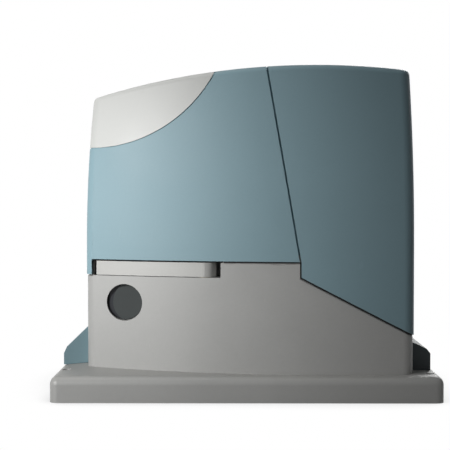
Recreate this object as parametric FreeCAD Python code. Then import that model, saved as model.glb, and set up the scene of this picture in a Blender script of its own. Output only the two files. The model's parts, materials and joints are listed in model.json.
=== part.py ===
"""Sliding gate motor: a low-voltage gearmotor with its control board in a two-tone housing.

X runs along the gate, with the release lock on the -X side. The front faces -Y, the gate and its
rack are on the +Y side, and +Z is up. The origin is on the ground, under the middle of the machine.
All sizes are in millimetres.
"""
import FreeCAD, Part  # noqa: E401  this order matters
import math
import os

V = FreeCAD.Vector
X_AXIS, Y_AXIS, Z_AXIS = V(1, 0, 0), V(0, 1, 0), V(0, 0, 1)

# ---- driving dimensions -------------------------------------------------------------------------
# Base casting
base_length = 330.0
base_depth = 192.0
base_height = 22.0
base_wall = 4.5
base_deck = 5.5
base_corner = 7.0
base_edge_round = 7.0
rib_xs = (-75.0, 10.0, 60.0, 115.0)
rib_ys = (-60.0, 60.0)
pinion_overhang = 20.0

# Outline of the upper body, seen from above
body_left = 141.0
body_right = 142.0
body_set_back = 8.5
body_rear_ledge = 16.0
body_corner = 10.0
front_bow = 560.0
front_bow_centre = 85.0

# Two-tone split line, and the crowned top
seam_height = 116.5
seam_low_height = 54.0
seam_gap = 1.4
split_top_x = 18.0
split_x = 45.4
split_drop = 12.8
split_gap = 1.6
split_lap = 7.0
post_inset = 10.5
crown_height = 279.5
crown_bow = 657.0
crown_x = 58.0
crown_tilt = 5.4
crown_round = 5.0
lean_start = 130.0
lean_bow = 1730.0
lean_shift = 0.38
cover_wall = 3.0

# Trim plate let into the upper front corner, left bare
plate_radius = 120.0
plate_centre_x = -133.0
plate_centre_z = 335.0
plate_thick = 1.2
plate_wrap = 13.0
plate_gap = 0.9

# Lower housing
housing_wall = 3.5
housing_inset = 0.8
housing_edge_round = 1.5
lip_height = 6.0
lip_thick = 2.0

# Release lever and its pocket
lever_height = 12.2
lever_depth = 20.0
lever_reach = 98.0
lever_pivot_x = -35.5
pocket_gap = 0.6
pocket_end_gap = 3.6
pocket_wall = 3.0
release_shaft_radius = 3.5
release_travel = 4.5
cam_start_radius = 7.0
cam_height = 9.0
cam_gap = 0.5
rod_radius = 3.0

# Lock
lock_x = -106.0
lock_drop = 23.0
lock_hole_radius = 16.0
lock_seat_back = 43.5
lock_barrel_radius = 8.0
lock_barrel_length = 14.0
tongue_rise = 5.0
lock_tongue_width = 7.0
lock_tongue_thick = 3.0
shutter_cut = 8.0
shutter_travel = 22.0
shutter_thick = 1.8

# Gear train
wheel_teeth = 30
wheel_module = 2.2
wheel_width = 16.0
worm_pitch_radius = 11.0
worm_turns = 5
worm_shaft_radius = 6.0
mesh_backlash = 0.5
pinion_teeth = 15
pinion_module = 4.0
pinion_width = 28.0
shaft_radius = 10.0
clearance = 0.3
sliding_gap = 0.1

# Gear case
case_wall = 6.0
case_rear_gap = 12.0
case_run = 72.0
lid_gap = 3.0
bolt_ear = 5.5
arm_end_radius = 6.0

# Motor
motor_radius = 37.0
motor_height = 96.0
motor_wall = 3.0
motor_flange = 9.0
armature_radius = 25.0
magnet_thick = 7.0
armature_slots = 12

# Electrical parts
transformer_x = 88.5
transformer_length = 74.0
transformer_height = 62.0
transformer_stack = 40.0
board_left = 54.0
board_right = 130.0
board_bottom = 112.0
board_top = 244.0
board_thick = 1.6
carrier_back = 37.5
carrier_thick = 3.0
board_standoff = 6.0
button_travel = 1.2
tray_floor = 2.5
tray_height = 42.0
tray_lift = 11.3

# Fixings
slot_width = 11.0
slot_length = 26.0
slot_edge = 12.0
slot_front_y = -12.0
slot_spacing = 58.0
level_screw_edge = 9.4
level_screw_radius = 4.0
entry_x = -101.0
entry_y = 10.0
entry_radius = 16.0
cap_wall = 2.0
case_bolt_radius = 3.2
housing_screw_radius = 2.3
cover_screw_radius = 2.5

# ---- derived places -----------------------------------------------------------------------------
overall_depth = base_depth + pinion_overhang
base_front_y = -overall_depth / 2
base_rear_y = base_front_y + base_depth
body_front_y = base_front_y + body_set_back
body_rear_y = base_rear_y - body_rear_ledge
bow_centre_y = body_front_y + front_bow
lever_pivot_y = bow_centre_y - math.sqrt(
    (front_bow - housing_inset) ** 2 - (lever_pivot_x - front_bow_centre) ** 2
) + lever_depth / 2
output_x = lever_pivot_x
pocket_floor_z = seam_height - seam_gap / 2 - lever_height - pocket_gap
output_height = pocket_floor_z - pocket_wall - cam_gap - cam_height / 2
lock_z = pocket_floor_z - lock_drop
lock_seat_y = body_front_y + lock_seat_back
lock_tongue_reach = lock_drop + tongue_rise
case_rear_y = body_rear_y - case_rear_gap
wheel_y = case_rear_y - case_run
case_front_y = wheel_y - wheel_width / 2 - lid_gap - case_wall
carrier_y = body_front_y + carrier_back
transformer_y = (carrier_y + body_rear_y) / 2
slot_x = base_length / 2 - slot_edge
level_screw_x = base_length / 2 - level_screw_edge
wheel_pitch_radius = wheel_teeth * wheel_module / 2
worm_x = output_x + wheel_pitch_radius + worm_pitch_radius
worm_pitch = math.pi * wheel_module
board_y = carrier_y - board_standoff


# ---- small building blocks ----------------------------------------------------------------------
def box(x0, x1, y0, y1, z0, z1):
    return Part.makeBox(x1 - x0, y1 - y0, z1 - z0, V(x0, y0, z0))


def rod(radius, start, end):
    """A round bar from one point to another."""
    along = end - start
    return Part.makeCylinder(radius, along.Length, start, along)


def ring(outer, inner, start, end):
    return rod(outer, start, end).cut(rod(inner, start, end))


def fuse_all(shapes):
    whole = shapes[0]
    if len(shapes) > 1:
        whole = whole.multiFuse(shapes[1:])
    return whole.removeSplitter()


def largest_piece(shape):
    return max(shape.Solids, key=lambda piece: piece.Volume)


def polygon_face(points):
    return Part.Face(Part.makePolygon(list(points) + [points[0]]))


def prism_y(points_xz, y0, y1):
    """A straight prism along Y from corners given as (x, z)."""
    return polygon_face([V(x, y0, z) for x, z in points_xz]).extrude(V(0, y1 - y0, 0))


def prism_x(points_yz, x0, x1):
    return polygon_face([V(x0, y, z) for y, z in points_yz]).extrude(V(x1 - x0, 0, 0))


def prism_z(points_xy, z0, z1):
    return polygon_face([V(x, y, z0) for x, y in points_xy]).extrude(V(0, 0, z1 - z0))


def rounded_box(x0, x1, y0, y1, z0, z1, radius):
    """A box with its four upright edges rounded."""
    block = box(x0, x1, y0, y1, z0, z1)
    return block.makeFillet(radius, upright_edges(block))


def upright_edges(shape):
    found = []
    for edge in shape.Edges:
        if edge.Curve.TypeId == "Part::GeomLine" and abs(edge.tangentAt(edge.FirstParameter).z) > 0.999:
            found.append(edge)
    return found


def socket_screw(place, along, radius, length, head_radius, head_height):
    """A socket-head screw: place is the seat under its head, and along points from there to its tip."""
    axis = V(along).normalize()
    shank = rod(radius, place, place + axis * length)
    head = rod(head_radius, place, place - axis * head_height)
    socket = rod(head_radius * 0.5, place - axis * head_height, place - axis * head_height * 0.4)
    return head.cut(socket).fuse(shank).removeSplitter()


def save(name, shape):
    if not shape.isValid():
        print("not valid:", name)
    shape.exportStep("parts/%s.step" % name)
    print("%-22s solids %2d  volume %10.1f" % (name, len(shape.Solids), shape.Volume))


# ---- body outline -------------------------------------------------------------------------------
def front_arc_y(x, inset=0.0):
    """Y of the bowed front at x, with the front moved inwards by inset."""
    radius = front_bow - inset
    return bow_centre_y - math.sqrt(radius ** 2 - (x - front_bow_centre) ** 2)


def corner_arc(side, inset, radius):
    """The rounded front corner: where it starts on the front, its middle, and where it ends on the side."""
    side_x = (body_right - inset) if side > 0 else -(body_left - inset)
    centre_x = side_x - side * radius
    centre_y = front_arc_y(centre_x, inset + radius)
    from_bow = V(centre_x - front_bow_centre, centre_y - bow_centre_y, 0).normalize()
    centre = V(centre_x, centre_y, 0)
    on_front = centre + from_bow * radius
    on_side = V(side_x, centre_y, 0)
    middle = centre + ((on_front - centre) + (on_side - centre)).normalize() * radius
    return on_front, middle, on_side


def outline(inset, z):
    """The closed outline of the upper body at height z, drawn in by inset on every side."""
    radius = body_corner
    left_front, left_middle, left_side = corner_arc(-1, inset, radius)
    right_front, right_middle, right_side = corner_arc(1, inset, radius)
    left_x, right_x, rear_y = -(body_left - inset), body_right - inset, body_rear_y - inset
    slant = radius * (1 - math.sqrt(0.5))
    rear_right = V(right_x - slant, rear_y - slant, 0)
    rear_left = V(left_x + slant, rear_y - slant, 0)
    bow_middle = V(front_bow_centre - 60, front_arc_y(front_bow_centre - 60, inset), 0)
    edges = [
        Part.Arc(left_front, bow_middle, right_front).toShape(),
        Part.Arc(right_front, right_middle, right_side).toShape(),
        Part.makeLine(right_side, V(right_x, rear_y - radius, 0)),
        Part.Arc(V(right_x, rear_y - radius, 0), rear_right, V(right_x - radius, rear_y, 0)).toShape(),
        Part.makeLine(V(right_x - radius, rear_y, 0), V(left_x + radius, rear_y, 0)),
        Part.Arc(V(left_x + radius, rear_y, 0), rear_left, V(left_x, rear_y - radius, 0)).toShape(),
        Part.makeLine(V(left_x, rear_y - radius, 0), left_side),
        Part.Arc(left_side, left_middle, left_front).toShape(),
    ]
    wire = Part.Wire(edges)
    wire.translate(V(0, 0, z))
    return wire


def straight_body(inset, z0, z1):
    return Part.Face(outline(inset, z0)).extrude(V(0, 0, z1 - z0))


def front_band(x0, x1, z0, z1, depth, inset=0.0):
    """The slab just behind the bowed front, as deep as depth."""
    outer = rod(front_bow - inset, V(front_bow_centre, bow_centre_y, z0), V(front_bow_centre, bow_centre_y, z1))
    inner = rod(front_bow - depth, V(front_bow_centre, bow_centre_y, z0 - 1), V(front_bow_centre, bow_centre_y, z1 + 1))
    window = box(x0, x1, body_front_y - 1, body_rear_y - 20, z0, z1)
    return window.common(outer).cut(inner)


def leaning_body(inset, top_drop):
    """The cover's outer form: upright sides that lean in as they rise, under a bowed and tilted top."""
    low, high = seam_low_height - 20, crown_height + 40
    steps = [lean_start + (high - lean_start) * i / 5 for i in range(6)]
    sections = [leaning_outline(inset, z) for z in steps]
    leaning = Part.makeLoft(sections, True, False, False, 3)
    body = straight_body(inset, low, lean_start).fuse(leaning).removeSplitter()
    return body.common(under_crown(crown_height - top_drop))


def leaning_outline(inset, z):
    """The outline at height z, drawn in by the lean and moved over so that the left side leans more."""
    lean = (z - lean_start) ** 2 / (2 * lean_bow)
    wire = outline(inset + lean, z)
    wire.translate(V(lean_shift * lean, 0, 0))
    return wire


def under_crown(height):
    """Everything below the bowed top, which climbs slightly towards the gate."""
    reach = body_left + body_right
    drop = crown_bow - math.sqrt(crown_bow ** 2 - reach ** 2)
    y0, run = base_front_y - 20, overall_depth + 60
    left = V(crown_x - reach, y0, height - drop)
    right = V(crown_x + reach, y0, height - drop)
    arc = Part.Arc(left, V(crown_x, y0, height), right).toShape()
    foot_left, foot_right = V(left.x, y0, -200), V(right.x, y0, -200)
    sides = [Part.makeLine(right, foot_right), Part.makeLine(foot_right, foot_left), Part.makeLine(foot_left, left)]
    face = Part.Face(Part.Wire([arc] + sides))
    return face.extrude(V(0, run, run * math.tan(math.radians(crown_tilt))))


def seam_line(shift):
    """The stepped split between housing and cover, as (x, z), moved up by shift."""
    notch_x = lever_left_x() - pocket_end_gap - 0.6
    slope = (split_drop_z() - seam_low_height) / (body_right - split_x)
    return [
        (-400, pocket_floor_z + shift),
        (notch_x - shift, pocket_floor_z + shift),
        (notch_x - shift, seam_height + shift),
        (split_x + shift * 0.8, seam_height + shift),
        (split_x + shift * 0.8, split_drop_z() + shift * 1.1 - slope * shift * 0.8),
        (body_right + 60, seam_low_height - 60 * slope + shift * 1.1),
    ]


def split_drop_z():
    return seam_height - split_drop


def lever_left_x():
    """X of the lever's free end, on the front face."""
    return lever_pivot_x - math.sqrt(lever_reach ** 2 - (lever_depth / 2 + 12) ** 2)


def below_seam(shift=0.0):
    points = seam_line(shift) + [(body_right + 60, -100), (-400, -100)]
    return prism_y(points, base_front_y - 50, base_rear_y + 50)


def above_seam(shift=0.0):
    points = seam_line(shift) + [(body_right + 60, 500), (-400, 500)]
    return prism_y(points, base_front_y - 50, base_rear_y + 50)


# ---- base ---------------------------------------------------------------------------------------
def slot_places():
    return [(side * slot_x, slot_front_y + i * slot_spacing) for side in (-1, 1) for i in (0, 1)]


def level_screw_places():
    return [(-level_screw_x, base_front_y + 39.0), (level_screw_x, base_front_y + 18.0),
            (-level_screw_x, base_rear_y - 13.0), (level_screw_x, base_rear_y - 13.0)]


def slot_cutter(x, y, z0, z1, width, length):
    half = (length - width) / 2
    ends = [rod(width / 2, V(x, y + s * half, z0), V(x, y + s * half, z1)) for s in (-1, 1)]
    return fuse_all([box(x - width / 2, x + width / 2, y - half, y + half, z0, z1)] + ends)


def base_plate():
    half = base_length / 2
    block = rounded_box(-half, half, base_front_y, base_rear_y, 0, base_height, base_corner)
    top_edges = [e for e in block.Edges if all(abs(v.Z - base_height) < 1e-6 for v in e.Vertexes)]
    block = block.makeFillet(base_edge_round, top_edges)
    hollow = rounded_box(
        -half + base_wall, half - base_wall, base_front_y + base_wall, base_rear_y - base_wall,
        -1, base_height - base_deck, base_corner - base_wall + 1.5,
    )
    edge_room = base_edge_round - base_wall
    top = [e for e in hollow.Edges if all(abs(v.Z - base_height + base_deck) < 1e-6 for v in e.Vertexes)]
    block = block.cut(hollow.makeChamfer(edge_room, top))
    inside_top = base_height - base_deck + 1
    end_x, front_y, rear_y = half - base_wall + 1, base_front_y + base_wall - 1, base_rear_y - base_wall + 1
    ribs = [box(x - 1.5, x + 1.5, front_y, rear_y, 3, inside_top) for x in rib_xs]
    ribs += [box(-end_x, end_x, y - 1.5, y + 1.5, 3, inside_top) for y in rib_ys]
    entry_boss = rod(entry_radius + 8, V(entry_x, entry_y, 3), V(entry_x, entry_y, inside_top))
    bosses = [rod(level_screw_radius + 4, V(x, y, 1), V(x, y, inside_top)) for x, y in level_screw_places()]
    slot_bosses = [slot_cutter(x, y, 2, inside_top, slot_width + 9, slot_length + 9) for x, y in slot_places()]
    block = fuse_all([block] + ribs + [entry_boss] + bosses + slot_bosses)
    for x, y in slot_places():
        block = block.cut(slot_cutter(x, y, -1, base_height + 1, slot_width, slot_length))
    for x, y in level_screw_places():
        block = block.cut(rod(level_screw_radius + 0.05, V(x, y, -1), V(x, y, base_height + 1)))
    block = block.cut(rod(entry_radius + 4, V(entry_x, entry_y, -1), V(entry_x, entry_y, base_height + 1)))
    for x, y in case_feet_places():
        block = block.fuse(rod(7.0, V(x, y, base_height - base_deck - 6), V(x, y, base_height - 1)))
        block = block.cut(rod(case_bolt_radius, V(x, y, 0), V(x, y, base_height + 1)))
    for x, y in housing_screw_places():
        block = block.cut(rod(housing_screw_radius, V(x, y, 0), V(x, y, base_height + 1)))
    return block.removeSplitter()


def levelling_screws():
    """Four set screws that lift the casting off its foundation plate, run level with the foot."""
    screws = []
    for x, y in level_screw_places():
        screw = rod(level_screw_radius, V(x, y, 0.5), V(x, y, base_height - 4))
        screws.append(screw.cut(rod(2.2, V(x, y, base_height - 9), V(x, y, base_height))))
    return Part.makeCompound(screws)


def cable_grommet():
    """Rubber ring round the conduit entry, with a groove for the deck's edge."""
    place = V(entry_x, entry_y, 0)
    outer = entry_radius + 4
    sleeve = ring(outer, entry_radius, place + V(0, 0, 6), place + V(0, 0, base_height + 3))
    collar = ring(outer + 3, entry_radius, place + V(0, 0, base_height), place + V(0, 0, base_height + 3))
    return sleeve.fuse(collar).removeSplitter()


# ---- lower housing ------------------------------------------------------------------------------
def lower_housing():
    inset = housing_inset
    shell = straight_body(inset, base_height, seam_height + 30)
    shell = shell.cut(straight_body(inset + housing_wall, base_height - 1, seam_height + 31))
    shell = round_front_edge(shell.common(below_seam(-seam_gap / 2)))
    lip_inset = cover_wall + 0.4
    lip = straight_body(lip_inset, base_height + 20, seam_height + 30)
    lip = lip.cut(straight_body(lip_inset + lip_thick, base_height + 19, seam_height + 31))
    lip = lip.common(below_seam(lip_height)).common(above_seam(-14))
    lip = lip.cut(box(-200, lever_pivot_x + 16, -200, 0, 0, 300))
    foot = straight_body(inset + housing_wall - 0.5, base_height, base_height + 3)
    foot = foot.cut(straight_body(inset + housing_wall + 9, base_height - 1, base_height + 4))
    body = fuse_all([shell, lip, foot, lever_pocket_block(), lock_boss()])
    body = body.cut(lever_pocket_room())
    body = body.cut(rod(lock_hole_radius, V(lock_x, body_front_y - 5, lock_z), V(lock_x, lock_seat_y + 1, lock_z)))
    body = body.cut(shutter_slot())
    shaft_hole = rod(shaft_radius + 8, V(output_x, body_rear_y - 20, output_height),
                     V(output_x, body_rear_y + 5, output_height))
    body = body.cut(shaft_hole)
    for x in screw_post_xs():
        top = seam_z_at(x) + seam_gap / 2 - clearance
        y = body_rear_y - post_inset
        dip = seam_z_at(x) - seam_gap / 2
        body = body.cut(box(x - 9.8, x + 9.8, y - 9.8, body_rear_y + 1, dip, top + 40))
        web = box(x - 4, x + 4, y, body_rear_y - 2, top - 24, top - seam_gap - 3)
        body = body.fuse(rod(6.5, V(x, y, top - 24), V(x, y, top)))
        body = body.fuse(web.cut(rod(6.4, V(x, y, 0), V(x, y, 300))))
        body = body.cut(rod(cover_screw_radius, V(x, y, top - 18), V(x, y, top + 1)))
    for x, y in housing_screw_places():
        body = body.cut(rod(housing_screw_radius + 0.1, V(x, y, base_height - 1), V(x, y, base_height + 4)))
    return body.removeSplitter()


def round_front_edge(shell):
    """Softens the outer edge of the front wall where it meets the cover."""
    found = []
    for edge in shell.Edges:
        middle = edge.valueAt((edge.FirstParameter + edge.LastParameter) / 2)
        on_front = abs(middle.y - front_arc_y(middle.x, housing_inset)) < 0.2
        level = abs(middle.z - seam_z_at(middle.x) + seam_gap / 2) < 0.8
        if on_front and level and edge.BoundBox.XLength > 30:
            found.append(edge)
    return shell.makeFillet(housing_edge_round, found)


def shutter_slot():
    """Room for the lock's shutter to slide aside between the boss and the lock's plate."""
    half = lock_hole_radius + 0.3
    return box(lock_x, lock_x + lock_hole_radius + 8, lock_seat_y - shutter_thick - 1.2, lock_seat_y + 1,
               lock_z - half, lock_z + half)


def seam_z_at(x):
    if x < split_x:
        return seam_height
    slope = (split_drop_z() - seam_low_height) / (body_right - split_x)
    return split_drop_z() - (x - split_x) * slope


def screw_post_xs():
    return (-100.0, 100.0)


def lever_pocket_block():
    """Walls round the release lever: floor, back and ends, with a deeper bay behind the latch hook."""
    left, right = lever_left_x() - pocket_end_gap - pocket_wall, lever_right_x() + pocket_end_gap + pocket_wall
    z0, z1 = pocket_floor_z - pocket_wall, seam_height - seam_gap / 2
    depth = lever_depth + 3 + pocket_wall + housing_inset
    band = front_band(left, right, z0, z1, depth, housing_inset + 0.5)
    beside_cover = cover_wall + 0.7
    bay = box(hook_bay_x()[0] - pocket_wall, hook_bay_x()[1] + pocket_wall,
              lock_seat_y, hook_rear_y() + 2 + pocket_wall, z0, z1)
    block = band.fuse(bay)
    under = block.common(straight_body(housing_inset + 0.5, z0, z1)).common(below_seam(-seam_gap / 2))
    return under.fuse(block.common(straight_body(beside_cover, z0, z1)))


def lever_pocket_room():
    left, right = lever_left_x() - pocket_end_gap, lever_right_x() + pocket_end_gap
    depth = lever_depth + 3 + housing_inset
    z1 = seam_height + 60
    room = front_band(left, right, pocket_floor_z, z1, depth, -5)
    bay = box(hook_bay_x()[0], hook_bay_x()[1], lock_seat_y, hook_rear_y() + 2, pocket_floor_z, z1)
    reach = lock_tongue_reach + 1.5
    rise = pocket_floor_z - pocket_wall - lock_z
    slot_right = lock_x + math.sqrt(reach ** 2 - rise ** 2) + 2
    tongue_slot = box(lock_x - lock_tongue_width / 2 - 2, slot_right, tongue_y() - 1.5,
                      tongue_y() + lock_tongue_thick + 1.5, pocket_floor_z - pocket_wall - 1, pocket_floor_z + 1)
    shaft = rod(release_shaft_radius + 2, V(lever_pivot_x, lever_pivot_y, pocket_floor_z - 10),
                V(lever_pivot_x, lever_pivot_y, pocket_floor_z + 1))
    return fuse_all([room, bay, tongue_slot, shaft])


def lever_right_x():
    return lever_pivot_x + lever_depth / 2


def hook_bay_x():
    """The bay behind the latch hook, wide enough for the hook's swing."""
    return lock_x - 21, lock_x + 18.5


def tongue_y():
    return lock_seat_y + 4.5 + lock_barrel_length


def hook_rear_y():
    return tongue_y() + lock_tongue_thick + 4.0


def lock_boss():
    """Brings the slanting front wall back to a square seat for the lock."""
    tube = rod(lock_hole_radius + 3, V(lock_x, body_front_y, lock_z), V(lock_x, lock_seat_y, lock_z))
    return tube.common(straight_body(housing_inset + 0.5, 30, 130))


def housing_screw_places():
    inner = housing_inset + housing_wall + 5
    return [
        (-(body_left - inner), 40.0), (-(body_left - inner), -15.0),
        (body_right - inner, 50.0), (body_right - inner, -25.0),
        (20.0, front_arc_y(20.0, inner)), (90.0, front_arc_y(90.0, inner)),
    ]


def housing_screws():
    screws = [
        socket_screw(V(x, y, base_height + 3), V(0, 0, -1), housing_screw_radius, 9.0, 4.2, 3.2) for x, y in housing_screw_places()
    ]
    return Part.makeCompound(screws)


# ---- cover --------------------------------------------------------------------------------------
def cover_shell():
    outer = leaning_body(0, 0)
    top_edges = [e for e in outer.Edges if e.BoundBox.ZMin > crown_height - 110 and e.BoundBox.ZLength < 90
                 and not is_upright(e)]
    outer = outer.makeFillet(crown_round, top_edges)
    inner = leaning_body(cover_wall, cover_wall)
    return outer, inner


def is_upright(edge):
    return edge.BoundBox.ZLength > edge.BoundBox.XLength + edge.BoundBox.YLength


def split_face(shift):
    """The slanting line between the two cover shells, as (x, z)."""
    return [(split_x + shift, 40), (split_x + shift, seam_height), (split_top_x + shift, crown_height - 3),
            (split_top_x + shift - 6, crown_height + 60)]


def left_of_split(shift):
    points = split_face(shift) + [(-400, crown_height + 60), (-400, 40)]
    return prism_y(points, base_front_y - 50, base_rear_y + 50)


def trim_zone(grow):
    zone = rod(plate_radius + grow, V(plate_centre_x, base_front_y - 50, plate_centre_z),
               V(plate_centre_x, base_rear_y, plate_centre_z))
    wrap = plate_wrap + grow
    behind = rod(front_bow - wrap, V(front_bow_centre, bow_centre_y, 100), V(front_bow_centre, bow_centre_y, 400))
    return zone.cut(behind)


def screw_channels(shell, outer, x):
    """An upright channel in the rear wall, with a floor that the cover screw clamps."""
    z0 = seam_z_at(x) + seam_gap / 2
    y = body_rear_y - post_inset
    top = z0 + 48
    tube = rod(9.2, V(x, y, z0), V(x, y, top)).fuse(box(x - 9.2, x + 9.2, y, body_rear_y, z0, top)).common(outer)
    channel = rod(6.2, V(x, y, z0 + 4), V(x, y, top - 3))
    mouth = box(x - 6.2, x + 6.2, y, body_rear_y + 5, z0 + 4, top - 3)
    return shell.fuse(tube).cut(channel).cut(mouth).cut(rod(cover_screw_radius + 0.3, V(x, y, z0 - 1), V(x, y, z0 + 5)))


def cover_parts():
    outer, inner = cover_shell()
    skin = leaning_body(plate_thick, plate_thick)
    plate = outer.cut(skin).common(trim_zone(0))
    shell = outer.cut(inner)
    shell = shell.cut(outer.cut(skin).common(trim_zone(plate_gap)))
    shell = shell.common(above_seam(seam_gap / 2))
    for x in screw_post_xs():
        shell = screw_channels(shell, outer, x)
    lap_outer = leaning_body(cover_wall, cover_wall)
    lap = lap_outer.cut(leaning_body(cover_wall + 1.6, cover_wall + 1.6))
    lap = lap.common(above_seam(lip_height + 1.5)).cut(left_of_split(-split_lap)).common(left_of_split(split_lap))
    left = shell.common(left_of_split(-split_gap / 2)).fuse(lap).removeSplitter()
    right = shell.cut(left_of_split(split_gap / 2)).cut(lap)
    return largest_piece(left), right.removeSplitter(), largest_piece(plate)


def cover_screws():
    screws = []
    for x in screw_post_xs():
        z = seam_z_at(x) + seam_gap / 2 + 4
        screws.append(socket_screw(V(x, body_rear_y - post_inset, z), V(0, 0, -1), cover_screw_radius - 0.06, 18.0, 4.6, 4.0))
    return Part.makeCompound(screws)


# ---- gears --------------------------------------------------------------------------------------
def gear_outline(teeth, module, thinning, steps):
    """Corners of an involute gear, as (across, up), with a tooth gap centred on the first axis."""
    pitch_radius = teeth * module / 2
    base_radius = pitch_radius * math.cos(math.radians(20))
    root_radius = pitch_radius - 1.25 * module
    half_tooth = (math.pi * module / 2 - thinning) / (2 * pitch_radius) + involute(base_radius, pitch_radius)
    first = max(base_radius, root_radius) + 0.001
    radii = [first + (pitch_radius + module - first) * i / steps for i in range(steps + 1)]
    corners = []
    for tooth in range(teeth):
        middle = (tooth + 0.5) * 2 * math.pi / teeth
        flank = [(r, half_tooth - involute(base_radius, r)) for r in radii]
        if root_radius < base_radius:
            flank = [(root_radius, half_tooth)] + flank
        side = [(r, middle - a) for r, a in flank] + [(r, middle + a) for r, a in reversed(flank)]
        corners += [(r * math.cos(a), r * math.sin(a)) for r, a in side]
    return corners


def involute(base_radius, radius):
    angle = math.acos(min(1.0, base_radius / radius))
    return math.tan(angle) - angle


def turned(corners, angle):
    c, s = math.cos(angle), math.sin(angle)
    return [(x * c - z * s, x * s + z * c) for x, z in corners]


def drive_pinion():
    """The rack pinion on the end of the output shaft, keyed and clamped."""
    corners = gear_outline(pinion_teeth, pinion_module, 0.3, 4)
    y1 = base_rear_y + pinion_overhang - 2.0
    y0 = y1 - pinion_width
    teeth = prism_y([(output_x + x, output_height + z) for x, z in corners], y0, y1)
    hub = rod(17, V(output_x, y0 - 4, output_height), V(output_x, y0, output_height))
    bore = rod(shaft_radius, V(output_x, y0 - 5, output_height), V(output_x, y1 + 1, output_height))
    keyway = box(output_x - 3, output_x + 3, y0 - 5, y1 + 1, output_height, output_height + shaft_radius + 3)
    recess = ring(24, 17, V(output_x, y1 - 3, output_height), V(output_x, y1 + 1, output_height))
    return teeth.fuse(hub).cut(bore).cut(keyway).cut(recess)


def worm_wheel():
    """Bronze wheel with its teeth turned to the worm's lead, and dog slots in its rear hub."""
    corners = gear_outline(wheel_teeth, wheel_module, mesh_backlash, 3)
    half = wheel_width / 2
    twist = half * worm_pitch / (2 * math.pi * worm_pitch_radius) / wheel_pitch_radius
    wires = []
    for end in (-1, 1):
        points = [V(output_x + x, wheel_y + end * half, output_height + z) for x, z in turned(corners, -end * twist)]
        wires.append(Part.makePolygon(points + [points[0]]))
    rim = Part.makeLoft(wires, True, True)
    for end in (-1, 1):
        face_y = wheel_y + end * half
        rim = rim.cut(ring(25, 18.5, V(output_x, face_y - end * 3.5, output_height),
                           V(output_x, face_y + end, output_height)))
    hub_end = hub_rear_y()
    rim = rim.fuse(rod(18.5, V(output_x, wheel_y, output_height), V(output_x, hub_end, output_height)))
    for i in range(4):
        slot = box(-3.4, 3.4, hub_end - 4.2, hub_end + 1, 12.2, 20)
        slot.rotate(V(0, 0, 0), Y_AXIS, 45 + 90 * i)
        slot.translate(V(output_x, 0, output_height))
        rim = rim.cut(slot)
    return rim.cut(rod(shaft_radius, V(output_x, wheel_y - 40, output_height), V(output_x, wheel_y + 40, output_height)))


def hub_rear_y():
    return wheel_y + wheel_width / 2 + 10


def output_shaft():
    """Hollow at the front for the release rod, slotted for its cross pin, keyed at the gate end."""
    y0, y1 = case_front_y + 0.5, base_rear_y + pinion_overhang - 2.6
    shaft = rod(shaft_radius, V(output_x, y0, output_height), V(output_x, y1, output_height))
    collar_y = wheel_y - wheel_width / 2
    shaft = shaft.fuse(rod(13, V(output_x, collar_y - 2.6, output_height), V(output_x, collar_y, output_height)))
    shaft = shaft.fuse(rod(14, V(output_x, case_rear_y - 15, output_height), V(output_x, case_rear_y - 12.2, output_height)))
    bore = rod(rod_radius + 0.4, V(output_x, y0 - 1, output_height), V(output_x, pin_y() + 12, output_height))
    pin_end = pin_y() + release_travel
    room = 2.5 + 0.5
    slot = fuse_all([
        rod(room, V(output_x, pin_y(), output_height - 20), V(output_x, pin_y(), output_height + 20)),
        rod(room, V(output_x, pin_end, output_height - 20), V(output_x, pin_end, output_height + 20)),
        box(output_x - room, output_x + room, pin_y(), pin_end, output_height - 20, output_height + 20),
    ])
    keyway = box(output_x - 3, output_x + 3, y1 - 24, y1 - 3, output_height + 6.5, output_height + 20)
    tapped = rod(3.4, V(output_x, y1 - 18, output_height), V(output_x, y1 + 1, output_height))
    return shaft.cut(bore).cut(slot).cut(keyway).cut(tapped)


def pinion_key():
    y1 = base_rear_y + pinion_overhang - 2.6
    return box(output_x - 3, output_x + 3, y1 - 24, y1 - 3, output_height + 6.5, output_height + shaft_radius + 2.8)


def pinion_screw():
    """Clamps the pinion on the shaft through a thick washer."""
    face_y = base_rear_y + pinion_overhang - 2.0
    washer = ring(15, 4, V(output_x, face_y, output_height), V(output_x, face_y + 2, output_height))
    bolt = socket_screw(V(output_x, face_y + 1, output_height), V(0, -1, 0), 3.4, 16, 6.5, 1.0)
    return washer.cut(rod(6.6, V(output_x, face_y + 1, output_height), V(output_x, face_y + 3, output_height))).fuse(bolt)


def pin_y():
    return hub_rear_y() + 13


def clutch_sleeve():
    """Slides back to free the shaft; four dogs drop into the wheel's hub when it is engaged."""
    y0 = hub_rear_y() + 0.3
    y1 = y0 + 18
    sleeve = rod(20, V(output_x, y0, output_height), V(output_x, y1, output_height))
    sleeve = sleeve.cut(ring(21, 16.5, V(output_x, y0 + 7, output_height), V(output_x, y0 + 11, output_height)))
    sleeve = sleeve.cut(rod(2.5, V(output_x, pin_y(), output_height - 25), V(output_x, pin_y(), output_height + 25)))
    for i in range(4):
        dog = box(-2.8, 2.8, y0 - 4, y0 + 2, 12.8, 17.8)
        dog.rotate(V(0, 0, 0), Y_AXIS, 45 + 90 * i)
        dog.translate(V(output_x, 0, output_height))
        sleeve = sleeve.fuse(dog)
    bore = rod(shaft_radius + clearance, V(output_x, y0 - 6, output_height), V(output_x, y1 + 1, output_height))
    return sleeve.cut(bore)


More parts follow.
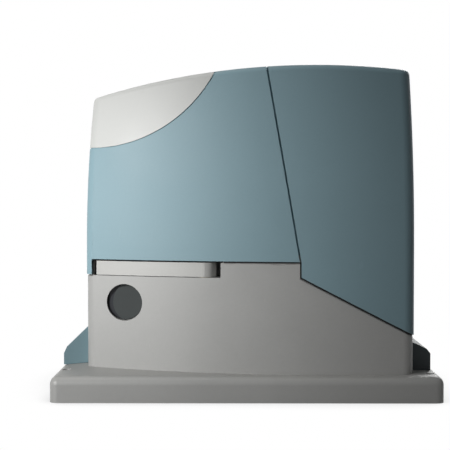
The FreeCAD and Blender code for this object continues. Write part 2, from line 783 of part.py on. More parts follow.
def release_rod():
    """Runs through the hollow shaft from the cam to the sleeve's cross pin."""
    tip_y = lever_pivot_y + cam_start_radius + 0.35
    bar = rod(rod_radius, V(output_x, tip_y + rod_radius, output_height), V(output_x, pin_y() + 5, output_height))
    dome = Part.makeSphere(rod_radius, V(output_x, tip_y + rod_radius, output_height))
    pin = rod(2.5, V(output_x, pin_y(), output_height - 18.5), V(output_x, pin_y(), output_height + 18.5))
    return bar.fuse(dome).fuse(pin)


def clutch_spring():
    """Return spring behind the sleeve."""
    y0 = hub_rear_y() + 0.3 + 18
    turns, wire = 3, 1.1
    helix = Part.makeHelix(3.0, 3.0 * turns, 14.5)
    profile = Part.Wire(Part.makeCircle(wire, V(14.5, 0, 0), Y_AXIS))
    coil = Part.Wire(helix.Edges).makePipeShell([profile], True, True)
    coil.rotate(V(0, 0, 0), X_AXIS, -90)
    coil.translate(V(output_x, y0 + wire, output_height))
    return coil


def rotor_shaft():
    """Motor shaft with the worm cut on its lower end."""
    lift = worm_turns * worm_pitch / 2
    z0, z1 = output_height - lift, output_height + lift
    core = worm_pitch_radius - 1.25 * wheel_module
    foot = V(worm_x, wheel_y, 0)
    parts = [
        rod(worm_shaft_radius, foot + V(0, 0, z0 - 20), foot + V(0, 0, commutator_z() + 1)),
        rod(core, foot + V(0, 0, z0 - 3.5), foot + V(0, 0, z1 + 3.5)),
        rod(4.0, foot + V(0, 0, commutator_z()), foot + V(0, 0, motor_top_z() + 3)),
    ]
    half = (worm_pitch / 2 - mesh_backlash) / 2
    slope = math.tan(math.radians(20))
    tip, root = worm_pitch_radius + wheel_module, core - 0.4
    tip_half, root_half = half - wheel_module * slope, half + (worm_pitch_radius - root) * slope
    corners = [V(root, 0, -root_half), V(tip, 0, -tip_half), V(tip, 0, tip_half), V(root, 0, root_half)]
    profile = Part.makePolygon(corners + [corners[0]])
    helix = Part.makeHelix(worm_pitch, worm_turns * worm_pitch, worm_pitch_radius)
    thread = Part.Wire(helix.Edges).makePipeShell([profile], True, True)
    thread.translate(foot + V(0, 0, z0))
    return fuse_all(parts + [thread])


# ---- gear case ----------------------------------------------------------------------------------
def wheel_room_radius():
    return wheel_pitch_radius + wheel_module + 2.5


def drum_rear_y():
    return wheel_y + wheel_width / 2 + 3 + case_wall


def case_top():
    return output_height + wheel_room_radius() + case_wall


def lower_bearing_z():
    return output_height - worm_turns * worm_pitch / 2 - 20


def upper_bearing_z():
    return case_top() - 13


def ear_places():
    """Bolt ears round the drum and beside the worm, as (x, z)."""
    reach = wheel_room_radius() + case_wall
    places = []
    for angle in (102, 130, 160, 214, 256):
        a = math.radians(angle)
        places.append((output_x + reach * math.cos(a), output_height + reach * math.sin(a)))
    return places + [(worm_x + 23, output_height - 28), (worm_x + 23, output_height + 24)]


def case_feet_places():
    return [(x, wheel_y + y) for x in (output_x - 30.5, worm_x + 29.5) for y in (8.0, 56.0)]


def gearcase():
    z = output_height
    drum = rod(wheel_room_radius() + case_wall, V(output_x, case_front_y, z), V(output_x, drum_rear_y(), z))
    bridge = box(output_x, worm_x, case_front_y, drum_rear_y(), z - 38, case_top())
    tower = rod(21, V(worm_x, wheel_y, lower_bearing_z() - 5), V(worm_x, wheel_y, case_top()))
    top = rod(motor_radius + 3, V(worm_x, wheel_y, case_top() - 8), V(worm_x, wheel_y, case_top()))
    hub = rod(30, V(output_x, drum_rear_y() - 1, z), V(output_x, case_rear_y, z))
    feet = rounded_box(output_x - 38.5, worm_x + 37.5, wheel_y, wheel_y + 64, base_height, base_height + 9, 6)
    ribs = [box(x - 2.5, x + 2.5, wheel_y, wheel_y + 62, base_height + 5, z - 20) for x in (output_x - 19.5, output_x + 26.5)]
    ribs.append(box(output_x - 32.5, worm_x + 23.5, wheel_y + 15, wheel_y + 20, base_height + 5, z - 20))
    ribs.append(prism_x([(6, case_top() - 8), (26, case_top() - 8), (6, case_top() - 34)], worm_x - 2.5, worm_x + 2.5))
    ears = [rod(bolt_ear, V(x, case_front_y, ez), V(x, drum_rear_y(), ez)) for x, ez in ear_places()]
    boss = box(output_x - 28.5, output_x - 8.5, wheel_y + 4, drum_rear_y(), case_top() - 16, tray_z())
    arm = box(lever_pivot_x - arm_end_radius, lever_pivot_x + arm_end_radius, lever_pivot_y, case_front_y + 1, z - 20, z - 8)
    arm = arm.fuse(rod(arm_end_radius, V(lever_pivot_x, lever_pivot_y, z - 20), V(lever_pivot_x, lever_pivot_y, z - 8)))
    arm_web = prism_x([(case_front_y + 1, z - 20), (lever_pivot_y + 12, z - 20), (case_front_y + 1, z - 42)],
                      lever_pivot_x - 2.5, lever_pivot_x + 2.5)
    case = fuse_all([drum, bridge, tower, top, hub, feet, boss, arm, arm_web] + ribs + ears)
    room = rod(wheel_room_radius(), V(output_x, case_front_y + case_wall, z), V(output_x, drum_rear_y() - case_wall, z))
    worm_room = rod(15.5, V(worm_x, wheel_y, lower_bearing_z() + 8), V(worm_x, wheel_y, upper_bearing_z() - 3))
    sleeve_room = rod(24, V(output_x, drum_rear_y() - case_wall - 1, z), V(output_x, case_rear_y - 12, z))
    seats = [
        rod(17.5, V(output_x, case_front_y, z), V(output_x, case_front_y + case_wall + 1, z)),
        rod(21, V(output_x, case_rear_y - 13, z), V(output_x, case_rear_y, z)),
        rod(14, V(worm_x, wheel_y, lower_bearing_z()), V(worm_x, wheel_y, lower_bearing_z() + 9)),
        rod(14, V(worm_x, wheel_y, upper_bearing_z()), V(worm_x, wheel_y, upper_bearing_z() + 8)),
        rod(10, V(worm_x, wheel_y, upper_bearing_z() - 4), V(worm_x, wheel_y, case_top() + 1)),
        rod(release_shaft_radius + 0.1, V(lever_pivot_x, lever_pivot_y, z - 21), V(lever_pivot_x, lever_pivot_y, z - 7)),
    ]
    for cutter in [room, worm_room, sleeve_room] + seats:
        case = case.cut(cutter)
    for x, ez in ear_places():
        case = case.cut(rod(2.0, V(x, case_front_y, ez), V(x, drum_rear_y() - 3, ez)))
    for x, y in case_feet_places():
        case = case.cut(rod(case_bolt_radius, V(x, y, base_height - 1), V(x, y, base_height + 10)))
    front = box(-200, 200, -200, wheel_y, 0, 400)
    lid = case.common(front)
    body = case.cut(front)
    return body.removeSplitter(), lid.removeSplitter()


def gearcase_bolts():
    bolts = [socket_screw(V(x, case_front_y, ez), Y_AXIS, 2.0, 26, 3.6, 3.0) for x, ez in ear_places()]
    bolts += [socket_screw(V(x, y, base_height + 9), V(0, 0, -1), case_bolt_radius, 18, 5.2, 5.0) for x, y in case_feet_places()]
    return Part.makeCompound(bolts)


def ball_bearing(start, along, bore, outer, width):
    """A sealed bearing: races with a shallow recess between them on both faces."""
    end = start + along * width
    body = ring(outer, bore, start, end)
    low, high = bore + (outer - bore) * 0.3, outer - (outer - bore) * 0.25
    body = body.cut(ring(high, low, start, start + along * 0.6))
    return body.cut(ring(high, low, end - along * 0.6, end))


def output_bearings():
    front = ball_bearing(V(output_x, case_front_y, output_height), Y_AXIS, shaft_radius + 0.05, 17.5, case_wall)
    rear = ball_bearing(V(output_x, case_rear_y - 12, output_height), Y_AXIS, shaft_radius + 0.05, 21, 12)
    return Part.makeCompound([front, rear])


def worm_bearings():
    low = ball_bearing(V(worm_x, wheel_y, lower_bearing_z()), Z_AXIS, worm_shaft_radius + 0.05, 14, 8)
    high = ball_bearing(V(worm_x, wheel_y, upper_bearing_z()), Z_AXIS, worm_shaft_radius + 0.05, 14, 8)
    return Part.makeCompound([low, high])


def output_seal():
    """Lip seal that closes the housing round the output shaft."""
    y0, y1 = case_rear_y, body_rear_y - housing_inset - 0.5
    seal = ring(shaft_radius + 7.9, shaft_radius + clearance, V(output_x, y0, output_height), V(output_x, y1, output_height))
    return seal.cut(ring(15, 12, V(output_x, y1 - 3, output_height), V(output_x, y1 + 1, output_height)))


# ---- motor --------------------------------------------------------------------------------------
def commutator_z():
    return case_top() + motor_flange + 70


def motor_top_z():
    return case_top() + motor_flange + motor_height - 8


def motor_flange_ring():
    z0 = case_top()
    plate = ring(motor_radius, 10, V(worm_x, wheel_y, z0), V(worm_x, wheel_y, z0 + motor_flange))
    cup = rod(motor_radius - motor_wall - 6, V(worm_x, wheel_y, z0 + 4), V(worm_x, wheel_y, z0 + motor_flange + 1))
    return plate.cut(cup)


def motor_can():
    z0 = case_top() + motor_flange
    z1 = motor_top_z() - 12
    return ring(motor_radius, motor_radius - motor_wall, V(worm_x, wheel_y, z0), V(worm_x, wheel_y, z1))


def stator_magnets():
    z0, z1 = case_top() + motor_flange + 4, commutator_z() - 6
    outer = motor_radius - motor_wall
    magnets = ring(outer, outer - magnet_thick, V(worm_x, wheel_y, z0), V(worm_x, wheel_y, z1))
    magnets = magnets.cut(box(worm_x - 8, worm_x + 8, wheel_y - 60, wheel_y + 60, z0 - 1, z1 + 1))
    return Part.makeCompound(magnets.Solids)


def armature_core():
    """Slotted lamination stack."""
    z0, z1 = case_top() + motor_flange + 12, commutator_z() - 14
    core = ring(armature_radius, worm_shaft_radius, V(worm_x, wheel_y, z0), V(worm_x, wheel_y, z1))
    cutters = []
    for i in range(armature_slots):
        hole = rod(3.4, V(19.5, 0, z0 - 1), V(19.5, 0, z1 + 1)).fuse(box(19.5, armature_radius + 2, -1.1, 1.1, z0 - 1, z1 + 1))
        hole.rotate(V(0, 0, 0), Z_AXIS, 360.0 * i / armature_slots)
        hole.translate(V(worm_x, wheel_y, 0))
        cutters.append(hole)
    return core.cut(cutters[0].multiFuse(cutters[1:]))


def armature_winding():
    """Copper in the slots, with a rounded bundle at each end."""
    z0, z1 = case_top() + motor_flange + 12, commutator_z() - 14
    ends = []
    for low, high in ((z0 - 7, z0), (z1, z1 + 8)):
        bundle = ring(22.9, 9, V(worm_x, wheel_y, low), V(worm_x, wheel_y, high))
        outside = [e for e in bundle.Edges if e.BoundBox.XLength > 40 and abs(e.BoundBox.ZMin - (low if low < z0 else high)) < 0.01]
        ends.append(bundle.makeFillet(3.0, outside))
    bars = []
    for i in range(armature_slots):
        a = 2 * math.pi * i / armature_slots
        x, y = worm_x + 19.5 * math.cos(a), wheel_y + 19.5 * math.sin(a)
        bars.append(rod(3.2, V(x, y, z0 - 1), V(x, y, z1 + 1)))
    return fuse_all(ends + bars)


def commutator():
    z0 = commutator_z()
    drum = ring(11, 4.0, V(worm_x, wheel_y, z0 + 1), V(worm_x, wheel_y, z0 + 12))
    for i in range(armature_slots):
        cut = box(9.8, 12, -0.4, 0.4, z0, z0 + 13)
        cut.rotate(V(0, 0, 0), Z_AXIS, 360.0 * (i + 0.5) / armature_slots)
        cut.translate(V(worm_x, wheel_y, 0))
        drum = drum.cut(cut)
    return drum.fuse(ring(12.5, 4.0, V(worm_x, wheel_y, z0 + 1), V(worm_x, wheel_y, z0 + 3)))


def brush_box(side):
    """Where a brush sits, as x0, x1, y0, y1, z0, z1."""
    near, far = worm_x + side * 11.3, worm_x + side * 27
    z0 = commutator_z() + 4
    return min(near, far), max(near, far), wheel_y - 3.5, wheel_y + 3.5, z0, z0 + 6.5


def brushes():
    return Part.makeCompound([box(*brush_box(side)) for side in (-1, 1)])


def motor_end_cap():
    """Carries the top bearing and the two brush holders."""
    z0, z1 = motor_top_z() - 12, motor_top_z()
    cap = rod(motor_radius, V(worm_x, wheel_y, z0), V(worm_x, wheel_y, z1))
    cap = cap.makeFillet(5.0, [e for e in cap.Edges if abs(e.BoundBox.ZMin - z1) < 0.01])
    cap = cap.cut(rod(motor_radius - 5, V(worm_x, wheel_y, z0 - 1), V(worm_x, wheel_y, z1 - 5)))
    for side in (-1, 1):
        x0, x1, y0, y1, b0, b1 = brush_box(side)
        near, far = (x0 + 2, x1) if side > 0 else (x0, x1 - 2)
        cap = cap.fuse(box(near, far, y0 - 2, y1 + 2, b0 - 1.5, z1 - 4))
        cap = cap.cut(box(x0 - 1, x1, y0, y1, b0, b1))
    cap = cap.cut(rod(4.06, V(worm_x, wheel_y, z0), V(worm_x, wheel_y, z1 + 1)))
    for i in range(8):
        vent = box(20, 28, -2, 2, z1 - 8, z1 + 1)
        vent.rotate(V(0, 0, 0), Z_AXIS, 22.5 + 45 * i)
        vent.translate(V(worm_x, wheel_y, 0))
        cap = cap.cut(vent)
    return cap.removeSplitter()


def encoder_magnet():
    z1 = motor_top_z() + 3
    return rod(5.0, V(worm_x, wheel_y, z1), V(worm_x, wheel_y, z1 + 3))


def encoder_board():
    """Small sensor board on two posts over the shaft end."""
    z0 = motor_top_z() + 7
    board = box(worm_x - 20, worm_x + 20, wheel_y - 9, wheel_y + 9, z0, z0 + 1.6)
    posts = [rod(3.0, V(worm_x + x, wheel_y, motor_top_z()), V(worm_x + x, wheel_y, z0)) for x in (-16, 16)]
    sensor = box(worm_x - 3, worm_x + 3, wheel_y - 3, wheel_y + 3, z0 + 1.6, z0 + 3)
    plug = box(worm_x + 9, worm_x + 17, wheel_y - 5, wheel_y + 5, z0 + 1.6, z0 + 7)
    return fuse_all([board, sensor, plug] + posts)


# ---- release lever and lock ---------------------------------------------------------------------
def release_lever():
    """Pull-out lever that follows the bowed front, with a latch hook for the lock's tongue."""
    z0, z1 = pocket_floor_z + pocket_gap, pocket_floor_z + pocket_gap + lever_height
    band = front_band(-200, lever_pivot_x, z0, z1, lever_depth + housing_inset, housing_inset)
    reach = rod(lever_reach, V(lever_pivot_x, lever_pivot_y, z0), V(lever_pivot_x, lever_pivot_y, z1))
    end = rod(lever_depth / 2 - 0.2, V(lever_pivot_x, lever_pivot_y, z0), V(lever_pivot_x, lever_pivot_y, z1))
    scoop = front_band(-200, lever_pivot_x - 22, z0 - 1, z1 - 3, lever_depth - 3 + housing_inset, housing_inset + 4)
    inner_reach = rod(lever_reach - 4, V(lever_pivot_x, lever_pivot_y, z0 - 1), V(lever_pivot_x, lever_pivot_y, z1))
    bar = band.common(reach).cut(scoop.common(inner_reach)).fuse(end)
    hook_y = tongue_y() + lock_tongue_thick + 0.8
    arm_x = lock_x - lock_tongue_width / 2 - 9
    hook = box(arm_x, arm_x + 5, front_arc_y(arm_x) + lever_depth - 2, hook_y + 3, z0, z1 - 2)
    hook = hook.fuse(box(arm_x, lock_x + lock_tongue_width / 2 + 2, hook_y, hook_y + 3, z0, z1 - 2))
    lever = fuse_all([bar, hook])
    ribs = []
    for x in (-118, -98, -78):
        ribs.append(box(x - 1, x + 1, body_front_y - 5, lever_pivot_y + 40, z0 + 0.5, z1 - 1))
    webs = fuse_all(ribs).common(scoop).common(inner_reach)
    lever = lever.fuse(webs).removeSplitter()
    lever = lever.cut(rod(release_shaft_radius, V(lever_pivot_x, lever_pivot_y, z0 - 1), V(lever_pivot_x, lever_pivot_y, z1 - 4)))
    lever = lever.cut(rod(4.6, V(lever_pivot_x, lever_pivot_y, z1 - 3.6), V(lever_pivot_x, lever_pivot_y, z1 + 1)))
    return lever.cut(rod(2.0, V(lever_pivot_x, lever_pivot_y, z1 - 5), V(lever_pivot_x, lever_pivot_y, z1))).removeSplitter()


def release_cam():
    """Upright shaft under the lever, with the spiral cam that pushes the release rod."""
    z_mid = output_height
    shaft = rod(release_shaft_radius, V(0, 0, z_mid - 19), V(0, 0, pocket_floor_z + pocket_gap + lever_height - 4))
    points = []
    for step in range(10):
        angle = math.radians(90 - 10 * step)
        radius = cam_start_radius + release_travel * step / 9
        points.append(V(radius * math.cos(angle), radius * math.sin(angle), z_mid - cam_height / 2))
    spiral = Part.BSplineCurve()
    spiral.interpolate(points)
    top = cam_start_radius + release_travel
    nose = V(top * math.cos(math.radians(-25)), top * math.sin(math.radians(-25)), z_mid - cam_height / 2)
    nose_middle = V(top * math.cos(math.radians(-12)), top * math.sin(math.radians(-12)), z_mid - cam_height / 2)
    heel = cam_start_radius - 2.5
    back = V(0, -heel, z_mid - cam_height / 2)
    side = V(-(heel + cam_start_radius) / 2, (cam_start_radius - heel) / 2, z_mid - cam_height / 2)
    edges = [spiral.toShape(), Part.Arc(points[-1], nose_middle, nose).toShape(), Part.makeLine(nose, back),
             Part.Arc(back, side, points[0]).toShape()]
    plate = Part.Face(Part.Wire(edges)).extrude(V(0, 0, cam_height))
    collar = rod(5.5, V(0, 0, z_mid - 7.8), V(0, 0, z_mid - cam_height / 2))
    cam = fuse_all([shaft, plate, collar])
    cam = cam.cut(rod(2.0, V(0, 0, pocket_floor_z), V(0, 0, pocket_floor_z + 40)))
    cam.translate(V(lever_pivot_x, lever_pivot_y, 0))
    return cam


def lever_screw():
    z = pocket_floor_z + pocket_gap + lever_height - 3.6
    return socket_screw(V(lever_pivot_x, lever_pivot_y, z), V(0, 0, -1), 2.0, 8.0, 4.4, 2.8)


def release_bush():
    """Flanged bush in the floor of the lever's pocket."""
    foot = V(lever_pivot_x, lever_pivot_y, 0)
    sleeve = rod(release_shaft_radius + 2, foot + V(0, 0, pocket_floor_z - pocket_wall), foot + V(0, 0, pocket_floor_z + 0.2))
    flange = rod(release_shaft_radius + 4, foot + V(0, 0, pocket_floor_z), foot + V(0, 0, pocket_floor_z + 0.3))
    bore = rod(release_shaft_radius + 0.09, foot + V(0, 0, 0), foot + V(0, 0, 200))
    return fuse_all([sleeve, flange]).cut(bore)


def lock_body():
    """Plate behind the round hole, with a tube for the barrel and two rails for the shutter."""
    y0 = lock_seat_y
    half = lock_hole_radius + 2.8
    right = lock_x + lock_hole_radius + shutter_travel + 2
    plate = box(lock_x - half, right, y0, y0 + 3, lock_z - half, lock_z + half)
    plate = plate.makeFillet(4, [e for e in plate.Edges if e.BoundBox.YLength > 2 and e.BoundBox.XLength < 0.1 and e.BoundBox.ZLength < 0.1])
    tube = rod(lock_barrel_radius + 3, V(lock_x, y0, lock_z), V(lock_x, tongue_y() - 1.0, lock_z))
    nut = prism_y([(lock_x + 14 * math.cos(math.radians(60 * i)), lock_z + 14 * math.sin(math.radians(60 * i))) for i in range(6)],
                  y0 + 3, y0 + 8)
    rails = []
    for side in (-1, 1):
        z_in, z_out = lock_z + side * (lock_hole_radius + 0.1), lock_z + side * half
        rails.append(box(lock_x + half + 2, right, y0 - shutter_thick - 0.9, y0 + 1, min(z_in, z_out), max(z_in, z_out)))
    body = fuse_all([plate, tube, nut] + rails).common(straight_body(housing_inset + housing_wall + 0.1, 30, 130))
    bore = rod(lock_barrel_radius + 0.08, V(lock_x, y0 - 1, lock_z), V(lock_x, tongue_y() + 1, lock_z))
    return body.cut(bore).removeSplitter()


def lock_barrel():
    """Turns a quarter to raise the tongue behind the lever's hook."""
    y0 = lock_seat_y + 0.4
    barrel = rod(lock_barrel_radius, V(lock_x, y0, lock_z), V(lock_x, tongue_y(), lock_z))
    face = [e for e in barrel.Edges if abs(e.BoundBox.YMax - y0) < 0.01 and e.BoundBox.XLength > 10]
    barrel = barrel.makeChamfer(0.6, face)
    keyhole = box(lock_x - 1.0, lock_x + 1.0, y0 - 1, y0 + 9, lock_z - 4.6, lock_z + 4.6)
    keyhole = keyhole.fuse(box(lock_x - 1.0, lock_x + 2.2, y0 - 1, y0 + 9, lock_z - 0.9, lock_z + 0.9))
    return barrel.cut(keyhole)


def lock_tongue():
    y0 = tongue_y()
    half = lock_tongue_width / 2
    bar = box(lock_x, lock_x + lock_tongue_reach, y0, y0 + lock_tongue_thick, lock_z - half, lock_z + half)
    tip = [e for e in bar.Edges if e.BoundBox.XMin > lock_x + 5 and e.BoundBox.YLength > 2 and e.BoundBox.ZLength < 0.1]
    bar = bar.makeFillet(2.5, tip)
    eye = rod(lock_barrel_radius - 1, V(lock_x, y0, lock_z), V(lock_x, y0 + lock_tongue_thick, lock_z))
    head = rod(4, V(lock_x, y0 + lock_tongue_thick, lock_z), V(lock_x, y0 + lock_tongue_thick + 2.2, lock_z))
    cross = box(lock_x - 3, lock_x + 3, y0 + lock_tongue_thick + 1.2, y0 + lock_tongue_thick + 3, lock_z - 0.6, lock_z + 0.6)
    return fuse_all([bar, eye, head]).cut(cross)


def lock_shutter():
    """Round sliding cover for the lock, cut away on its left for a fingertip."""
    y1 = lock_seat_y - clearance
    y0 = y1 - shutter_thick
    radius = lock_hole_radius - 0.5
    disc = rod(radius, V(lock_x, y0, lock_z), V(lock_x, y1, lock_z))
    keep = rod(radius + 3, V(lock_x + shutter_cut, y0 - 1, lock_z), V(lock_x + shutter_cut, y1 + 1, lock_z))
    return disc.common(keep)


# ---- power and control --------------------------------------------------------------------------
def transformer_core():
    x, y, z0 = transformer_x, transformer_y, base_height + 6
    half, depth = transformer_length / 2, transformer_stack / 2
    core = box(x - half, x + half, y - depth, y + depth, z0, z0 + transformer_height)
    window = (transformer_length - 4 * 12.3) / 2 + 0.2
    for side in (-1, 1):
        near, far = x + side * 12.4, x + side * (12.4 + window)
        core = core.cut(box(min(near, far), max(near, far), y - depth - 1, y + depth + 1, z0 + 12.5, z0 + transformer_height - 12.5))
    return core


def transformer_winding():
    x, y, z0 = transformer_x, transformer_y, base_height + 6
    reach = 12.4 + (transformer_length - 4 * 12.3) / 2
    bobbin = rounded_box(x - reach, x + reach, y - transformer_stack / 2 - 11, y + transformer_stack / 2 + 11,
                         z0 + 12.7, z0 + transformer_height - 12.7, 6)
    leg = box(x - 12.5, x + 12.5, y - transformer_stack / 2 - 0.1, y + transformer_stack / 2 + 0.1, z0, z0 + transformer_height)
    tabs = [box(x + dx - 2, x + dx + 2, y - 38.0, y - 30, z0 + 44, z0 + 46) for dx in (-15, -5, 5, 15)]
    flange = rounded_box(x - reach, x + reach, y - 38.0 + 4, y + transformer_stack / 2 + 12, z0 + 46, z0 + 49.2, 4)
    return fuse_all([bobbin.fuse(flange).cut(leg)] + tabs)


def transformer_bracket():
    """Steel strap over the core, folded out to two feet."""
    x, y = transformer_x, transformer_y
    half = transformer_length / 2
    z1 = base_height + 6 + transformer_height
    strap = box(x - half - 1.6, x + half + 1.6, y - 12, y + 12, base_height, z1 + 1.6)
    strap = strap.cut(box(x - half, x + half, y - 13, y + 13, base_height - 1, z1))
    feet = []
    for side in (-1, 1):
        near, far = x + side * (half - 14), x + side * (half + 0.4)
        feet.append(box(min(near, far), max(near, far), y - 18, y + 18, base_height, base_height + 6))
    return fuse_all([strap] + feet)


def board_carrier():
    """Upright plate that carries the control board, standing on two legs."""
    x0, x1 = board_left - 4, board_right + 3
    z1 = board_top + 3
    plate = box(x0, x1, carrier_y, carrier_y + carrier_thick, base_height + 42, z1)
    plate = plate.makeFillet(6, [e for e in plate.Edges if e.BoundBox.YLength > 2 and e.BoundBox.XLength < 0.1
                                 and e.BoundBox.ZLength < 0.1 and e.BoundBox.ZMin > z1 - 1])
    parts = [plate]
    for x in (x0 + 5, x1 - 12):
        parts.append(box(x - 5, x + 5, carrier_y, carrier_y + 22, base_height, base_height + 3))
        parts.append(prism_x([(carrier_y, base_height), (carrier_y + 20, base_height), (carrier_y + carrier_thick, z1 - 60),
                              (carrier_y, z1 - 60)], x - 2, x + 2))
    for x, z in board_posts():
        parts.append(rod(4, V(x, board_y, z), V(x, carrier_y + 1, z)))
    carrier = fuse_all(parts)
    for z in (board_bottom - 22, board_bottom + 44, board_bottom + 84):
        carrier = carrier.cut(box(board_left + 18, board_right - 18, carrier_y - 1, carrier_y + 5, z - 8, z + 8))
    for x, z in board_posts():
        carrier = carrier.cut(rod(1.6, V(x, board_y - 1, z), V(x, board_y + 5, z)))
    return carrier


def board_posts():
    return [(x, z) for x in (board_left + 5, board_right - 5) for z in (board_bottom + 5, board_top - 5)]


def control_board():
    board = box(board_left, board_right, board_y - board_thick, board_y, board_bottom, board_top)
    for x, z in board_posts():
        board = board.cut(rod(1.6, V(x, board_y - 5, z), V(x, board_y + 5, z)))
    heads = [socket_screw(V(x, board_y - board_thick, z), Y_AXIS, 1.5, 5.5, 3.0, 2.0) for x, z in board_posts()]
    return Part.makeCompound([board] + heads)


def board_face():
    return board_y - board_thick


def terminal_blocks():
    """Two plug-in rows along the foot of the board, with wire entries below and clamp screws in front."""
    blocks = []
    z0, z1 = board_bottom + 11, board_bottom + 23
    for start, poles in ((board_left + 3, 7), (board_left + 41, 6)):
        x1 = start + poles * 5.0
        block = box(start, x1, board_face() - 12, board_face(), z0, z1)
        block = block.cut(box(start - 1, x1 + 1, board_face() - 13, board_face() - 9.5, z1 - 3, z1 + 1))
        for pole in range(poles):
            x = start + 2.5 + 5.0 * pole
            block = block.cut(rod(1.5, V(x, board_face() - 13, z0 + 4.5), V(x, board_face() - 8, z0 + 4.5)))
            block = block.cut(box(x - 1.4, x + 1.4, board_face() - 8.5, board_face() - 4, z0 - 1, z0 + 5))
        blocks.append(block)
    return Part.makeCompound(blocks)


def button_xs():
    return [board_left + 12 + 13 * i for i in range(3)]


def board_components():
    """Relays, capacitors, heat sink, fuse, processor, radio board and the three button bases."""
    y = board_face()
    parts = []
    for i in range(2):
        relay = box(board_left + 4 + 22 * i, board_left + 23 + 22 * i, y - 15, y, board_bottom + 52, board_bottom + 68)
        parts.append(relay.makeChamfer(0.8, [e for e in relay.Edges if abs(e.BoundBox.YMax - y + 15) < 0.01]))
    for x, z, radius, tall in ((60, 62, 8, 14), (68, 46, 5, 12), (56, 44, 5, 12)):
        can = rod(radius, V(board_left + x, y, board_bottom + z), V(board_left + x, y - tall, board_bottom + z))
        top = [e for e in can.Edges if abs(e.BoundBox.YMax - y + tall) < 0.01]
        parts.append(can.makeFillet(0.9, top))
    sink = box(board_left + 50, board_right - 4, y - 16, y, board_bottom + 82, board_bottom + 118)
    for i in range(5):
        x = board_left + 52.4 + 4.4 * i
        sink = sink.cut(box(x, x + 2.8, y - 17, y - 3, board_bottom + 81, board_bottom + 119))
    parts.append(sink)
    parts.append(box(board_left + 12, board_left + 26, y - 1.4, y, board_bottom + 78, board_bottom + 92))
    parts.append(box(board_left + 32, board_left + 42, y - 1.4, y, board_bottom + 76, board_bottom + 84))
    parts.append(box(board_left + 10, board_left + 44, y - 14, y, board_bottom + 104, board_bottom + 107))
    for x in (board_left + 34, board_left + 44):
        parts.append(box(x - 1, x + 1, y - 8, y, board_bottom + 94, board_bottom + 100))
    parts.append(rod(2.6, V(board_left + 32, y - 5, board_bottom + 97), V(board_left + 46, y - 5, board_bottom + 97)))
    for x in button_xs():
        z = board_bottom + 34
        base = box(x - 5, x + 5, y - 4, y, z - 5, z + 5)
        parts.append(base.cut(rod(3.3, V(x, y - 5, z), V(x, y - 0.8, z))))
    return Part.makeCompound(parts)


def push_button(index):
    x, y, z = button_xs()[index], board_face(), board_bottom + 34
    front = y - 4 - button_travel - 0.5
    cap = rod(4.3, V(x, front, z), V(x, front - 3.5, z))
    cap = cap.makeFillet(0.8, [e for e in cap.Edges if abs(e.BoundBox.YMax - front + 3.5) < 0.01])
    return cap.fuse(rod(3.0, V(x, front, z), V(x, y - 0.8 - button_travel - 0.3, z)))


def tray_z():
    return case_top() + tray_lift


def battery_tray():
    """Open tray for two back-up batteries, screwed to the gear case and propped by a rear panel."""
    x0, x1, z0 = -(body_left - 13.0), worm_x - motor_radius - 5, tray_z()
    y1 = body_rear_y - 24.0
    y0 = y1 - 86.0
    panel_x = output_x - 40.5
    tray = rounded_box(x0, x1, y0, y1, z0, z0 + tray_height, 5)
    tray = tray.cut(rounded_box(x0 + 2.4, x1 - 2.4, y0 + 2.4, y1 - 2.4, z0 + tray_floor, z0 + 100, 3))
    panel = box(x0 + 4, panel_x, y1 - 3, y1, base_height, z0 + 1)
    foot = box(x0 + 4, panel_x, y1 - 3, y1 + 9, base_height, base_height + 3)
    gusset = [prism_x([(y1, base_height), (y1 + 9, base_height), (y1, base_height + 40)], x - 1.2, x + 1.2)
              for x in (x0 + 5.2, panel_x - 1.2)]
    tray = fuse_all([tray, panel, foot] + gusset)
    for i in range(5):
        x = x0 + 14 + 15.5 * i
        tray = tray.cut(box(x, x + 7, y0 - 1, y0 + 4, z0 + 9, z0 + tray_height - 8))
        tray = tray.cut(box(x, x + 7, y1 - 4, y1 + 1, z0 + 9, z0 + tray_height - 8))
    tray = tray.cut(box(x0 + 16, x1 - 16, y0 + 20, y1 - 38, z0 - 1, z0 + 4))
    return tray.removeSplitter()


# ---- covers over the foundation slots -----------------------------------------------------------
def slot_cap(corners, front_y, front_slant):
    """A hollow cap with the outline given as (x, z), its front face slanting back by front_slant."""
    rear_y = base_rear_y - 8
    outer = prism_y(corners, front_y, rear_y)
    side = 1 if corners[0][0] > 0 else -1
    near, far = side * (body_left - 2.0), side * (base_length / 2 + 5.0)
    wedge = prism_z([(near, front_y - 20), (far, front_y - 20), (far, front_y),
                     (near + side * 2.0, front_y + front_slant)], 0, 100)
    middle_x = sum(x for x, z in corners) / len(corners)
    low = min(z for x, z in corners)
    inner = []
    for x, z in corners:
        drop = -1.0 if z < low + 0.5 else -cap_wall
        inner.append((x + (cap_wall if x < middle_x else -cap_wall), z + drop))
    room = prism_y(inner, front_y + cap_wall, rear_y - cap_wall)
    shift = wedge.copy()
    shift.translate(V(0, cap_wall, 0))
    room = room.cut(shift)
    block = outer.cut(wedge)
    soften = [e for e in block.Edges if e.BoundBox.ZMin > low + 12 and e.BoundBox.YLength > 60
              and abs(e.BoundBox.XMin - corners[0][0]) > 0.5]
    block = block.makeFillet(1.5, soften)
    return block.cut(room)


def anchor_cap_left():
    low = base_height + 0.3
    top = base_height + 32.6
    outer, inner = -(base_length / 2 - 2.8), -(body_left - housing_inset) - 1.4
    corners = [(inner, low), (inner, top), (outer + 19.4, top), (outer + 2.5, top - 16.4),
               (outer, top - 22.0), (outer, low)]
    return slot_cap(corners, slot_front_y - 34.0, 18.0)


